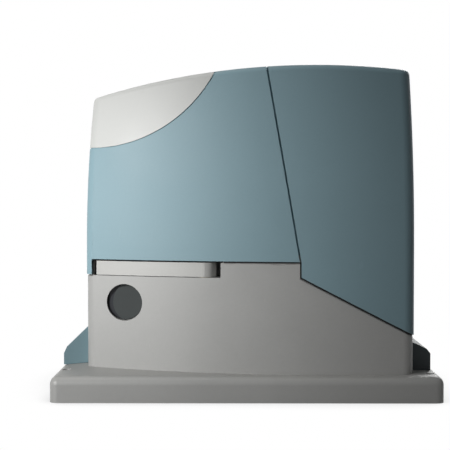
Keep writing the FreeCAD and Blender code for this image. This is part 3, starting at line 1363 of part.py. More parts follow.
def anchor_cap_right():
    low = base_height + 0.3
    inner = body_right + 0.6
    top, outer = base_height + 24.6, base_length / 2 - 6.0
    corners = [(inner, low), (inner, top), (outer - 15.5, top - 0.2), (outer - 3.1, top - 5.9),
               (outer, top - 9.8), (outer, low)]
    return slot_cap(corners, slot_front_y - 60.0, 3.0)


def main():
    os.makedirs("parts", exist_ok=True)
    save("base_plate", base_plate())
    save("levelling_screws", levelling_screws())
    save("cable_grommet", cable_grommet())
    save("lower_housing", lower_housing())
    save("housing_screws", housing_screws())
    left, right, plate = cover_parts()
    save("cover_left_shell", left)
    save("cover_right_shell", right)
    save("trim_plate", plate)
    save("cover_screws", cover_screws())
    body, lid = gearcase()
    save("gearcase_body", body)
    save("gearcase_lid", lid)
    save("gearcase_bolts", gearcase_bolts())
    save("output_bearings", output_bearings())
    save("worm_bearings", worm_bearings())
    save("output_seal", output_seal())
    save("output_shaft", output_shaft())
    save("worm_wheel", worm_wheel())
    save("drive_pinion", drive_pinion())
    save("pinion_key", pinion_key())
    save("pinion_screw", pinion_screw())
    save("clutch_sleeve", clutch_sleeve())
    save("release_rod", release_rod())
    save("clutch_spring", clutch_spring())
    save("rotor_shaft", rotor_shaft())
    save("armature_core", armature_core())
    save("armature_winding", armature_winding())
    save("commutator", commutator())
    save("encoder_magnet", encoder_magnet())
    save("motor_flange", motor_flange_ring())
    save("motor_can", motor_can())
    save("stator_magnets", stator_magnets())
    save("motor_end_cap", motor_end_cap())
    save("brushes", brushes())
    save("encoder_board", encoder_board())
    save("release_lever", release_lever())
    save("release_cam", release_cam())
    save("lever_screw", lever_screw())
    save("release_bush", release_bush())
    save("lock_body", lock_body())
    save("lock_barrel", lock_barrel())
    save("lock_tongue", lock_tongue())
    save("lock_shutter", lock_shutter())
    save("transformer_core", transformer_core())
    save("transformer_winding", transformer_winding())
    save("transformer_bracket", transformer_bracket())
    save("board_carrier", board_carrier())
    save("control_board", control_board())
    save("terminal_blocks", terminal_blocks())
    save("board_components", board_components())
    for index, name in enumerate(("button_open", "button_stop", "button_close")):
        save(name, push_button(index))
    save("battery_tray", battery_tray())
    save("anchor_cap_left", anchor_cap_left())
    save("anchor_cap_right", anchor_cap_right())


main()
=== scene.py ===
import bpy
import bmesh
import json
import math
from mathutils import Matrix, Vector


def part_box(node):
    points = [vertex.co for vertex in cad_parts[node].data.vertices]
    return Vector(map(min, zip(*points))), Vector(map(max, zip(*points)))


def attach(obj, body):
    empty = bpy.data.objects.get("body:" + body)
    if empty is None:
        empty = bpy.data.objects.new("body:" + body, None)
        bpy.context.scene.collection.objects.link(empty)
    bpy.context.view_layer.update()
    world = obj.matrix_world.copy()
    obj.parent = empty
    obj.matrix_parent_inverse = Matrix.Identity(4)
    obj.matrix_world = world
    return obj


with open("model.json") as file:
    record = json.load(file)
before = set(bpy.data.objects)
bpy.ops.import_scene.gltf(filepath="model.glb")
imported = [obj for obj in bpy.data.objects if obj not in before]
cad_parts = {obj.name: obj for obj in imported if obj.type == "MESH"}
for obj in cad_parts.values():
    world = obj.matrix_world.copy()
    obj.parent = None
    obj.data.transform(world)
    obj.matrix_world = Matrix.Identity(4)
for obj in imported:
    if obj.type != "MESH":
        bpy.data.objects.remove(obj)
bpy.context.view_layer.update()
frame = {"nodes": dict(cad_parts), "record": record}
nodes = frame["nodes"]


def tone(red, green, blue):
    # Linear colour from screen values of 0 to 255
    def one(value):
        value = value / 255.0
        return value / 12.92 if value <= 0.04045 else ((value + 0.055) / 1.055) ** 2.4
    return (one(red), one(green), one(blue), 1.0)


# Shader groups
def newGroup(name, inputs, outputs):
    group = bpy.data.node_groups.new(name, "ShaderNodeTree")
    for label, kind, value in inputs:
        socket = group.interface.new_socket(label, in_out="INPUT", socket_type=kind)
        if value is not None:
            socket.default_value = value
    for label, kind in outputs:
        group.interface.new_socket(label, in_out="OUTPUT", socket_type=kind)
    return group, group.nodes.new("NodeGroupInput").outputs, group.nodes.new("NodeGroupOutput").inputs


def node(tree, kind, **settings):
    made = tree.nodes.new(kind)
    for key, value in settings.items():
        setattr(made, key, value)
    return made


def link(tree, source, target):
    tree.links.new(source, target)


def feed(tree, value, socket):
    # A number goes into the socket itself, anything else is linked to it
    if isinstance(value, (int, float)):
        socket.default_value = value
    else:
        link(tree, value, socket)


def maths(tree, operation, first, second=None, clamp=False):
    made = node(tree, "ShaderNodeMath", operation=operation, use_clamp=clamp)
    feed(tree, first, made.inputs[0])
    if second is not None:
        feed(tree, second, made.inputs[1])
    return made.outputs[0]


def remap(tree, value, low, high, outLow, outHigh):
    made = node(tree, "ShaderNodeMapRange", clamp=True)
    link(tree, value, made.inputs["Value"])
    for label, number in (("From Min", low), ("From Max", high), ("To Min", outLow), ("To Max", outHigh)):
        made.inputs[label].default_value = number
    return made.outputs["Result"]


def noise(tree, where, scale, detail, roughness):
    made = node(tree, "ShaderNodeTexNoise")
    link(tree, where, made.inputs["Vector"])
    feed(tree, scale, made.inputs["Scale"])
    made.inputs["Detail"].default_value = detail
    made.inputs["Roughness"].default_value = roughness
    return made.outputs["Fac"]


def bumped(tree, height, distance, strength, under=None):
    # Normal of a height, laid over another normal where one is given
    made = node(tree, "ShaderNodeBump")
    made.inputs["Distance"].default_value = distance
    feed(tree, strength, made.inputs["Strength"])
    link(tree, height, made.inputs["Height"])
    if under is not None:
        link(tree, under, made.inputs["Normal"])
    return made.outputs["Normal"]


def grainGroup():
    # Fine moulded or cast texture as a normal, with a cloud mask for tone and gloss
    group, start, end = newGroup(
        "surfaceGrain",
        [("Position", "NodeSocketVector", None), ("Scale", "NodeSocketFloat", 900.0),
         ("Height", "NodeSocketFloat", 0.3), ("Cloud Scale", "NodeSocketFloat", 14.0)],
        [("Normal", "NodeSocketVector"), ("Cloud", "NodeSocketFloat"), ("Grain", "NodeSocketFloat")],
    )
    fine = noise(group, start["Position"], start["Scale"], 2.0, 0.6)
    half = maths(group, "MULTIPLY", start["Scale"], 0.31)
    coarse = noise(group, start["Position"], half, 1.0, 0.5)
    height = maths(group, "ADD", maths(group, "MULTIPLY", fine, 0.65), maths(group, "MULTIPLY", coarse, 0.35))
    link(group, bumped(group, height, 0.00012, start["Height"]), end["Normal"])
    link(group, noise(group, start["Position"], start["Cloud Scale"], 4.0, 0.6), end["Cloud"])
    link(group, height, end["Grain"])
    return group


def wearGroup():
    # Mask along outer edges, broken up by noise
    group, start, end = newGroup(
        "edgeWear",
        [("Position", "NodeSocketVector", None), ("Radius", "NodeSocketFloat", 0.0012),
         ("Amount", "NodeSocketFloat", 0.4), ("Breakup", "NodeSocketFloat", 160.0)],
        [("Mask", "NodeSocketFloat")],
    )
    soft = node(group, "ShaderNodeBevel", samples=4)
    link(group, start["Radius"], soft.inputs["Radius"])
    flat = node(group, "ShaderNodeNewGeometry")
    dot = node(group, "ShaderNodeVectorMath", operation="DOT_PRODUCT")
    link(group, soft.outputs["Normal"], dot.inputs[0])
    link(group, flat.outputs["Normal"], dot.inputs[1])
    edge = remap(group, dot.outputs["Value"], 0.985, 0.86, 0.0, 1.0)
    patches = noise(group, start["Position"], start["Breakup"], 4.0, 0.65)
    broken = remap(group, patches, 0.42, 0.62, 0.0, 1.0)
    worn = maths(group, "MULTIPLY", edge, broken)
    link(group, maths(group, "MULTIPLY", worn, start["Amount"], clamp=True), end["Mask"])
    return group


def dustGroup():
    # Mask of dust lying on faces that look up, thicker in patches
    group, start, end = newGroup(
        "restingDust",
        [("Position", "NodeSocketVector", None), ("Amount", "NodeSocketFloat", 0.2),
         ("Patch Scale", "NodeSocketFloat", 24.0)],
        [("Mask", "NodeSocketFloat")],
    )
    flat = node(group, "ShaderNodeNewGeometry")
    split = node(group, "ShaderNodeSeparateXYZ")
    link(group, flat.outputs["Normal"], split.inputs[0])
    upward = remap(group, split.outputs["Z"], 0.35, 1.0, 0.0, 1.0)
    clouds = noise(group, start["Position"], start["Patch Scale"], 5.0, 0.65)
    patch = remap(group, clouds, 0.3, 0.75, 0.25, 1.0)
    lying = maths(group, "MULTIPLY", upward, patch)
    link(group, maths(group, "MULTIPLY", lying, start["Amount"], clamp=True), end["Mask"])
    return group


def scuffGroup():
    # Sparse fine scratches in two directions
    group, start, end = newGroup(
        "fineScuffs",
        [("Position", "NodeSocketVector", None), ("Amount", "NodeSocketFloat", 0.3),
         ("Density", "NodeSocketFloat", 60.0)],
        [("Mask", "NodeSocketFloat")],
    )
    total = None
    for turn, stretch in ((24.0, 22.0), (-63.0, 30.0)):
        angle = math.radians(turn)
        spin = node(group, "ShaderNodeMapping")
        link(group, start["Position"], spin.inputs["Vector"])
        spin.inputs["Rotation"].default_value = (angle, math.radians(turn * 0.6), angle)
        spin.inputs["Scale"].default_value = (1.0, stretch, 1.0)
        streaks = noise(group, spin.outputs["Vector"], start["Density"], 2.0, 0.5)
        lines = remap(group, streaks, 0.70, 0.76, 0.0, 1.0)
        total = lines if total is None else maths(group, "MAXIMUM", total, lines)
    sparse = remap(group, noise(group, start["Position"], 18.0, 2.0, 0.5), 0.5, 0.7, 0.0, 1.0)
    marks = maths(group, "MULTIPLY", total, sparse)
    link(group, maths(group, "MULTIPLY", marks, start["Amount"], clamp=True), end["Mask"])
    return group


def turningGroup():
    # Fine turning or grinding lines round an axis through a point
    group, start, end = newGroup(
        "turningMarks",
        [("Position", "NodeSocketVector", None), ("Centre", "NodeSocketVector", None),
         ("Axis Mask", "NodeSocketVector", None), ("Pitch", "NodeSocketFloat", 2600.0),
         ("Strength", "NodeSocketFloat", 0.2)],
        [("Normal", "NodeSocketVector"), ("Lines", "NodeSocketFloat")],
    )
    away = node(group, "ShaderNodeVectorMath", operation="SUBTRACT")
    link(group, start["Position"], away.inputs[0])
    link(group, start["Centre"], away.inputs[1])
    across = node(group, "ShaderNodeVectorMath", operation="MULTIPLY")
    link(group, away.outputs["Vector"], across.inputs[0])
    link(group, start["Axis Mask"], across.inputs[1])
    length = node(group, "ShaderNodeVectorMath", operation="LENGTH")
    link(group, across.outputs["Vector"], length.inputs[0])
    slanted = node(group, "ShaderNodeVectorMath", operation="DOT_PRODUCT")
    link(group, away.outputs["Vector"], slanted.inputs[0])
    slanted.inputs[1].default_value = (0.31, 0.27, 0.35)
    run = maths(group, "ADD", length.outputs["Value"], slanted.outputs["Value"])
    wave = maths(group, "SINE", maths(group, "MULTIPLY", run, start["Pitch"]))
    rough = noise(group, start["Position"], 900.0, 2.0, 0.5)
    lines = maths(group, "ADD", maths(group, "MULTIPLY", wave, 0.35), rough)
    link(group, bumped(group, lines, 0.00006, start["Strength"]), end["Normal"])
    link(group, lines, end["Lines"])
    return group


grain = grainGroup()
wear = wearGroup()
dust = dustGroup()
scuffs = scuffGroup()
turning = turningGroup()
print("shader groups made")


def useGroup(tree, group, where, **values):
    made = node(tree, "ShaderNodeGroup", node_tree=group)
    link(tree, where, made.inputs["Position"])
    for label, value in values.items():
        made.inputs[label.replace("_", " ")].default_value = value
    return made.outputs


def mixTone(tree, amount, first, second):
    made = node(tree, "ShaderNodeMix", data_type="RGBA")
    link(tree, amount, made.inputs[0])
    for socket, value in ((made.inputs[6], first), (made.inputs[7], second)):
        if isinstance(value, tuple):
            socket.default_value = value
        else:
            link(tree, value, socket)
    return made.outputs[2]


def scaled(colour, factor):
    return (colour[0] * factor, colour[1] * factor, colour[2] * factor, 1.0)


def startMaterial(name):
    made = bpy.data.materials.new(name)
    made.use_nodes = True
    tree = made.node_tree
    shader = tree.nodes["Principled BSDF"]
    where = node(tree, "ShaderNodeTexCoord").outputs["Object"]
    return made, tree, shader, where


def paintMaterial(name, colour, look):
    # Moulded plastic or painted casting: grain, cloudy tone, worn edges, scuffs and dust
    made, tree, shader, where = startMaterial(name)
    texture = useGroup(tree, grain, where, Scale=look.get("scale", 1400.0), Height=look.get("grain", 0.3),
                       Cloud_Scale=look.get("cloud", 11.0))
    edges = useGroup(tree, wear, where, Radius=0.0012, Amount=look.get("wear", 0.35))
    settled = useGroup(tree, dust, where, Amount=look.get("dust", 0.15))
    marks = useGroup(tree, scuffs, where, Amount=look.get("scuffs", 0.25))
    clouded = remap(tree, texture["Cloud"], 0.3, 0.7, 0.0, 1.0)
    spread = look.get("spread", 0.05)
    base = mixTone(tree, clouded, scaled(colour, 1.0 - spread), scaled(colour, 1.0 + spread))
    speck = remap(tree, texture["Grain"], 0.35, 0.65, 0.0, look.get("speck", 0.12))
    base = mixTone(tree, speck, base, scaled(colour, 0.72))
    base = mixTone(tree, edges["Mask"], base, scaled(colour, 1.5))
    base = mixTone(tree, marks["Mask"], base, scaled(colour, 1.25))
    base = mixTone(tree, settled["Mask"], base, tone(168, 162, 150))
    link(tree, base, shader.inputs["Base Color"])
    middle = look.get("rough", 0.45)
    rough = remap(tree, texture["Cloud"], 0.3, 0.7, middle - 0.05, middle + 0.06)
    rough = maths(tree, "ADD", rough, maths(tree, "MULTIPLY", settled["Mask"], 0.35), clamp=True)
    rough = maths(tree, "SUBTRACT", rough, maths(tree, "MULTIPLY", marks["Mask"], 0.12), clamp=True)
    link(tree, rough, shader.inputs["Roughness"])
    link(tree, texture["Normal"], shader.inputs["Normal"])
    shader.inputs["Metallic"].default_value = look.get("metal", 0.0)
    shader.inputs["IOR"].default_value = 1.48
    shader.inputs["Specular IOR Level"].default_value = 0.28
    if look.get("coat"):
        shader.inputs["Coat Weight"].default_value = look["coat"]
        shader.inputs["Coat Roughness"].default_value = 0.25
    return made


def metalMaterial(name, colour, look):
    # Bare metal: turned or ground lines, cloudy tone, darker film in patches
    made, tree, shader, where = startMaterial(name)
    marks = useGroup(tree, turning, where, Centre=look.get("centre", (0.0, 0.0, 0.0)),
                     Axis_Mask=(1.0, 0.0, 1.0), Pitch=2600.0, Strength=look.get("lines", 0.2))
    texture = useGroup(tree, grain, where, Scale=look.get("scale", 700.0), Height=look.get("grain", 0.1),
                       Cloud_Scale=30.0)
    edges = useGroup(tree, wear, where, Radius=0.0008, Amount=0.5)
    film = remap(tree, texture["Cloud"], 0.35, 0.7, 0.0, look.get("film", 0.35))
    base = mixTone(tree, film, colour, scaled(colour, 0.62))
    lines = remap(tree, marks["Lines"], 0.1, 0.9, 0.0, 0.25)
    base = mixTone(tree, lines, base, scaled(colour, 0.75))
    base = mixTone(tree, edges["Mask"], base, scaled(colour, 1.25))
    link(tree, base, shader.inputs["Base Color"])
    rough = maths(tree, "ADD", look.get("rough", 0.3), maths(tree, "MULTIPLY", film, 0.4), clamp=True)
    link(tree, rough, shader.inputs["Roughness"])
    shader.inputs["Metallic"].default_value = look.get("metal", 1.0)
    join = node(tree, "ShaderNodeVectorMath", operation="ADD")
    link(tree, marks["Normal"], join.inputs[0])
    link(tree, texture["Normal"], join.inputs[1])
    unit = node(tree, "ShaderNodeVectorMath", operation="NORMALIZE")
    link(tree, join.outputs["Vector"], unit.inputs[0])
    link(tree, unit.outputs["Vector"], shader.inputs["Normal"])
    return made


def stackMaterial(name, colour, look):
    # Sheet stacks and wound wire: level bands, one above another, darkened in their grooves as painted shade
    made, tree, shader, where = startMaterial(name)
    split = node(tree, "ShaderNodeSeparateXYZ")
    link(tree, where, split.inputs[0])
    texture = useGroup(tree, grain, where, Scale=500.0, Height=0.1, Cloud_Scale=40.0)
    wobble = maths(tree, "MULTIPLY", texture["Cloud"], look["wobble"])
    run = maths(tree, "ADD", split.outputs["Z"], wobble)
    phase = maths(tree, "FRACT", maths(tree, "DIVIDE", run, look["pitch"]))
    ridge = maths(tree, "SINE", maths(tree, "MULTIPLY", phase, math.pi))
    normal = bumped(tree, ridge, look["pitch"] * 0.4, look["height"], texture["Normal"])
    # Painted shade: each band is darker towards its groove, standing in for the shade in the creases between
    # turns and sheets
    base = mixTone(tree, ridge, scaled(colour, look["groove"]), colour)
    base = mixTone(tree, remap(tree, texture["Cloud"], 0.35, 0.7, 0.0, 0.4), base, scaled(colour, 0.7))
    link(tree, base, shader.inputs["Base Color"])
    link(tree, normal, shader.inputs["Normal"])
    shader.inputs["Metallic"].default_value = 1.0
    shader.inputs["Roughness"].default_value = look["rough"]
    return made


def boardMaterial(name, colour, trackColour):
    # Lacquered circuit board with tracks under the lacquer
    made, tree, shader, where = startMaterial(name)
    texture = useGroup(tree, grain, where, Scale=1600.0, Height=0.06, Cloud_Scale=20.0)
    cells = node(tree, "ShaderNodeTexVoronoi", feature="DISTANCE_TO_EDGE", distance="EUCLIDEAN")
    squash = node(tree, "ShaderNodeMapping")
    link(tree, where, squash.inputs["Vector"])
    squash.inputs["Scale"].default_value = (1.0, 0.2, 2.6)
    link(tree, squash.outputs["Vector"], cells.inputs["Vector"])
    cells.inputs["Scale"].default_value = 150.0
    cells.inputs["Randomness"].default_value = 0.35
    tracks = remap(tree, cells.outputs["Distance"], 0.05, 0.09, 1.0, 0.0)
    base = mixTone(tree, tracks, colour, trackColour)
    base = mixTone(tree, remap(tree, texture["Cloud"], 0.35, 0.7, 0.0, 0.3), base, scaled(colour, 0.6))
    link(tree, base, shader.inputs["Base Color"])
    link(tree, bumped(tree, tracks, 0.00005, 0.5, texture["Normal"]), shader.inputs["Normal"])
    shader.inputs["Roughness"].default_value = 0.32
    shader.inputs["Coat Weight"].default_value = 0.5
    shader.inputs["Coat Roughness"].default_value = 0.18
    return made


# Finishes. What a look leaves out has its kind's own value.
coverBlue = tone(139, 167, 176)
castingPaint = tone(168, 168, 166)
outputAxis = (-0.0355, 0.0, 0.095)
lockAxis = (-0.106, 0.0, 0.079)
coverLook = {"rough": 0.48, "grain": 0.35, "dust": 0.10, "wear": 0.12, "scuffs": 0.15, "scale": 1800.0,
             "spread": 0.03}
castingLook = {"rough": 0.5, "grain": 0.5, "dust": 0.16, "wear": 0.25, "scale": 800.0, "metal": 0.1,
               "cloud": 9.0}
housingLook = {"rough": 0.5, "grain": 0.45, "scale": 900.0, "dust": 0.1, "wear": 0.2, "metal": 0.1}
trimLook = {"rough": 0.4, "grain": 0.12, "dust": 0.05, "wear": 0.05, "scuffs": 0.1, "spread": 0.02,
            "speck": 0.05}
leverLook = {"rough": 0.42, "grain": 0.25, "dust": 0.05, "wear": 0.3, "metal": 0.1}
buttonLook = {"rough": 0.3, "grain": 0.1, "wear": 0.3, "coat": 0.4}
rawLook = {"rough": 0.42, "lines": 0.06, "grain": 0.5, "scale": 500.0, "film": 0.4}
laminationLook = {"pitch": 0.0005, "rough": 0.42, "height": 0.3, "groove": 0.6, "wobble": 0.0003}
copperLook = {"pitch": 0.0011, "rough": 0.3, "height": 0.8, "groove": 0.35, "wobble": 0.0006}
materials = {
    "cover_blue": paintMaterial("coverBlue", coverBlue, coverLook),
    "cover_blue_dark": paintMaterial("coverDeepBlue", coverBlue, coverLook),
    "cap_blue": paintMaterial("capBlue", coverBlue, {
        "rough": 0.45, "grain": 0.4, "dust": 0.2, "wear": 0.15, "scuffs": 0.2}),
    "trim_silver": paintMaterial("trimSilver", tone(201, 202, 199), trimLook),
    "base_casting": paintMaterial("basePaint", castingPaint, castingLook),
    "housing_grey": paintMaterial("housingPaint", castingPaint, housingLook),
    "lever_grey": paintMaterial("leverGrey", tone(178, 178, 175), leverLook),
    "shutter_dark": paintMaterial("shutterDark", tone(64, 68, 68), {
        "rough": 0.5, "grain": 0.35, "dust": 0.05, "wear": 0.35}),
    "raw_aluminium": metalMaterial("rawAluminium", tone(188, 190, 192), rawLook),
    "steel": metalMaterial("groundSteel", tone(176, 178, 182), {"rough": 0.24, "centre": outputAxis}),
    "zinc_steel": metalMaterial("zincSteel", tone(190, 192, 190), {
        "rough": 0.30, "centre": outputAxis, "film": 0.3}),
    "black_steel": metalMaterial("blackSteel", tone(52, 52, 55), {
        "rough": 0.38, "metal": 0.7, "centre": outputAxis}),
    "bronze": metalMaterial("wheelBronze", tone(196, 150, 84), {"rough": 0.3, "centre": outputAxis}),
    "brass_nickel": metalMaterial("nickelBrass", tone(196, 190, 172), {"rough": 0.25, "centre": lockAxis}),
    "motor_paint": paintMaterial("motorPaint", tone(44, 46, 49), {
        "rough": 0.35, "grain": 0.4, "scale": 600.0, "wear": 0.3, "coat": 0.25}),
    "laminations": stackMaterial("laminations", tone(128, 130, 134), laminationLook),
    "magnet": paintMaterial("magnetGrey", tone(58, 58, 60), {
        "rough": 0.6, "grain": 0.8, "scale": 700.0, "wear": 0.2}),
    "copper": stackMaterial("woundCopper", tone(196, 110, 66), copperLook),
    "carbon": paintMaterial("carbonBrush", tone(40, 40, 42), {"rough": 0.55, "grain": 0.6, "scale": 900.0}),
    "black_plastic": paintMaterial("blackPlastic", tone(36, 36, 38), {
        "rough": 0.45, "grain": 0.35, "wear": 0.2}),
    "rubber_black": paintMaterial("rubberBlack", tone(30, 30, 31), {
        "rough": 0.7, "grain": 0.6, "scale": 600.0, "wear": 0.0}),
    "board_green": boardMaterial("boardGreen", tone(24, 86, 48), tone(60, 130, 72)),
    "terminal_green": paintMaterial("terminalGreen", tone(48, 128, 66), {
        "rough": 0.4, "grain": 0.2, "wear": 0.2}),
    "parts_dark": paintMaterial("partsDark", tone(46, 48, 52), {"rough": 0.4, "grain": 0.25, "wear": 0.2}),
    "button_red": paintMaterial("buttonRed", tone(186, 42, 34), buttonLook),
    "button_black": paintMaterial("buttonBlack", tone(38, 38, 40), buttonLook),
    "carrier_grey": paintMaterial("carrierGrey", tone(88, 90, 93), {
        "rough": 0.48, "grain": 0.3, "wear": 0.2}),
}
# Painted shade: a darker copy of the cap blue for the right anchor cap, which stands in the body's shadow
paintedShadeCap = paintMaterial("paintedShadeCap", tone(58, 64, 66), {
    "rough": 0.5, "grain": 0.4, "dust": 0.05, "wear": 0.1, "scuffs": 0.1})
materials["solder"] = metalMaterial("solderTin", tone(196, 198, 200), {
    "rough": 0.28, "lines": 0.02, "grain": 0.3})
leadLook = {"rough": 0.42, "grain": 0.12, "wear": 0.0, "dust": 0.05, "scuffs": 0.05}
leadTones = {"red": tone(176, 34, 30), "black": tone(30, 30, 32), "blue": tone(40, 78, 150),
             "brown": tone(98, 62, 42), "white": tone(205, 204, 198)}
for label, leadTone in leadTones.items():
    materials["lead_" + label] = paintMaterial("lead" + label.title(), leadTone, leadLook)
print("materials made", len(materials))


# Carried-over pieces: their finish, with painted shade on the right anchor cap, clean shading and a small
# edge round
slots = {entry["node"]: entry["material_slot"] for entry in frame["record"]["subparts"]}
# The right anchor cap takes the painted-shade copy of the cap blue; the lock body takes its own dark finish
ownFinishOrPaintedShade = {"anchor_cap_right": paintedShadeCap, "lock_body": materials["parts_dark"]}
edgeRounds = {
    "cover_left_shell": 0.0006, "cover_right_shell": 0.0006, "base_plate": 0.0005, "lower_housing": 0.0005,
    "release_lever": 0.0009, "trim_plate": 0.0003, "lock_shutter": 0.0004,
}
roundedFrom = math.radians(38)
sharpFrom = math.radians(28)


def dress(name):
    piece = nodes[name]
    piece.data.materials.clear()
    piece.data.materials.append(ownFinishOrPaintedShade.get(name) or materials[slots[name]])
    for polygon in piece.data.polygons:
        polygon.use_smooth = True
        polygon.material_index = 0
    if name in edgeRounds:
        rounding = piece.modifiers.new("edgeRound", "BEVEL")
        rounding.width = edgeRounds[name]
        rounding.segments = 2
        rounding.limit_method = "ANGLE"
        rounding.angle_limit = roundedFrom
        rounding.harden_normals = True
        rounding.use_clamp_overlap = True


def smoothByAngle(mesh, angle):
    # Marks edges sharper than angle, so that only gentle ones shade smoothly
    work = bmesh.new()
    work.from_mesh(mesh)
    for edge in work.edges:
        edge.smooth = len(edge.link_faces) == 2 and edge.calc_face_angle(0.0) <= angle
    work.to_mesh(mesh)
    work.free()


for name in nodes:
    dress(name)
    smoothByAngle(nodes[name].data, sharpFrom)
print("carried-over pieces dressed")


# Added pieces
def swept(name, points, radius, material, order=4):
    # A round strip along points, turned into a plain mesh
    path = bpy.data.curves.new(name + "Path", "CURVE")
    path.dimensions = "3D"
    path.bevel_depth = radius
    path.bevel_resolution = 3
    path.resolution_u = 8
    path.use_fill_caps = True
    line = path.splines.new("NURBS" if order > 2 else "POLY")
    line.points.add(len(points) - 1)
    for place, point in zip(line.points, points):
        place.co = (point[0], point[1], point[2], 1.0)
    if order > 2:
        line.order_u = order
        line.use_endpoint_u = True
    holder = bpy.data.objects.new(name + "Path", path)
    bpy.context.scene.collection.objects.link(holder)
    mesh = bpy.data.meshes.new_from_object(holder.evaluated_get(bpy.context.evaluated_depsgraph_get()))
    bpy.data.objects.remove(holder)
    bpy.data.curves.remove(path)
    return placeMesh(name, mesh, material)


def placeMesh(name, mesh, material):
    mesh.name = name
    work = bmesh.new()
    work.from_mesh(mesh)
    bmesh.ops.remove_doubles(work, verts=work.verts, dist=1e-7)
    bmesh.ops.recalc_face_normals(work, faces=work.faces)
    work.to_mesh(mesh)
    work.free()
    mesh.materials.clear()
    mesh.materials.append(material)
    for polygon in mesh.polygons:
        polygon.use_smooth = True
        polygon.material_index = 0
    made = bpy.data.objects.new(name, mesh)
    bpy.context.scene.collection.objects.link(made)
    return made


# Boxes of the carried-over pieces that the added ones are placed by
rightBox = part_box("cover_right_shell")
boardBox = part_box("control_board")
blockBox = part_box("terminal_blocks")
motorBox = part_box("motor_end_cap")
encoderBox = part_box("encoder_board")
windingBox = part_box("transformer_winding")
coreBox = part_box("transformer_core")
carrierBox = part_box("board_carrier")

# A dark rubber cord under the covers: a gasket, and also painted shade that darkens the seam gap. Its path
# follows the bowed front and the sloping seam.
shadeGasketLook = {"radius": 0.00062, "inset": 0.0016, "startX": -0.0190, "backY": 0.058}
bowRadius = 0.560
bow = {"radius": bowRadius, "x": 0.085, "y": rightBox[0][1] + bowRadius}
seam = {"top": 0.1165, "drop": 0.1037, "stepX": 0.0454, "low": 0.054, "right": 0.142, "corner": 0.010}
stepGap = 0.0002


def frontY(x, inset):
    return bow["y"] - math.sqrt((bow["radius"] - inset) ** 2 - (x - bow["x"]) ** 2)


def seamZ(x):
    slope = (seam["drop"] - seam["low"]) / (seam["right"] - seam["stepX"])
    return seam["drop"] - (x - seam["stepX"]) * slope


def shadeGasketPath(inset):
    # Along the front from the lever's pocket, down the step and the slope, and back along the right side
    points = []
    for step in range(13):
        x = shadeGasketLook["startX"] + (seam["stepX"] - stepGap - shadeGasketLook["startX"]) * step / 12
        points.append((x, frontY(x, inset), seam["top"]))
    points.append((seam["stepX"], frontY(seam["stepX"], inset), seam["drop"] + stepGap))
    cornerX = seam["right"] - seam["corner"]
    for step in range(1, 15):
        x = seam["stepX"] + (cornerX - seam["stepX"]) * step / 14
        points.append((x, frontY(x, inset), seamZ(x)))
    radius = seam["corner"] - inset
    startY = frontY(cornerX, inset)
    for step in range(1, 9):
        turn = math.radians(90 * step / 8)
        x = cornerX + radius * math.sin(turn)
        points.append((x, startY + radius * (1 - math.cos(turn)), seamZ(x)))
    side = points[-1]
    for step in range(1, 9):
        points.append((side[0], side[1] + (shadeGasketLook["backY"] - side[1]) * step / 8, side[2]))
    return points


shadeGasketPoints = shadeGasketPath(shadeGasketLook["inset"])
# Painted shade: the black cord darkens the seam line as the gap's shade would
shadeGasket = swept("seamShadeGasket", shadeGasketPoints, shadeGasketLook["radius"], materials["rubber_black"], 2)
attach(shadeGasket, "drive_unit")
print("gasket made", len(shadeGasket.data.polygons))


# Leads inside the cover
wireLook = {"radius": 0.0009, "spacing": 0.005, "shift": 0.0022}


def lead(name, points, colour):
    made = swept(name, points, wireLook["radius"], materials["lead_" + colour])
    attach(made, "drive_unit")
    return made


entryY = blockBox[0][1] + 0.0058
entryZ = blockBox[0][2] + 0.0002
sideX = boardBox[0][0] - 0.0021
boardLeft, boardFoot = boardBox[0][0], boardBox[0][2]
motorFront, motorTop = motorBox[0][1], motorBox[1][2]
clampY = (motorFront + motorBox[1][1]) / 2
brushInset = 0.006
for index, colour in enumerate(("red", "black")):
    shift = index * wireLook["shift"]
    brushX = motorBox[1][0] - brushInset if index == 0 else motorBox[0][0] + brushInset
    endX = blockBox[0][0] + 0.0025 + wireLook["spacing"] * index
    top = motorTop + 0.0035 + shift
    lead("motorLead" + colour.title(), [
        (brushX, clampY, motorTop - 0.0042),
        (brushX, clampY, top - 0.001),
        (brushX, clampY - 0.004, top),
        (0.022 + shift, motorFront + 0.006, top),
        (0.042, motorFront - 0.006, top - 0.004),
        (sideX - 0.0005, entryY + 0.004 + shift, 0.205),
        (sideX - 0.0005, entryY + shift, 0.170),
        (sideX - 0.0005, entryY + shift, 0.130),
        (sideX + 0.001, entryY + shift, boardFoot - 0.002),
        (endX, entryY, boardFoot - 0.006),
        (endX, entryY, boardFoot + 0.002),
        (endX, entryY, entryZ),
    ], colour)

windingMiddle = (windingBox[0][0] + windingBox[1][0]) / 2
windingFront = windingBox[0][1]
tabZ = 0.073
for index, colour in enumerate(("white", "white", "brown", "blue")):
    startX = windingMiddle - 0.015 + 0.010 * index
    midX = 0.0825 + 0.0055 * index
    endX = blockBox[0][0] + 0.0405 + wireLook["spacing"] * index
    lead("transformerLead%d" % (index + 1), [
        (startX, windingFront + 0.0006, tabZ),
        (startX, windingFront - 0.006, tabZ),
        (midX, carrierBox[1][1] - 0.010, 0.080),
        (midX, -0.0585, 0.090),
        (midX, -0.066, 0.093),
        (endX, entryY, 0.098),
        (endX, entryY, boardFoot),
        (endX, entryY, entryZ),
    ], colour)

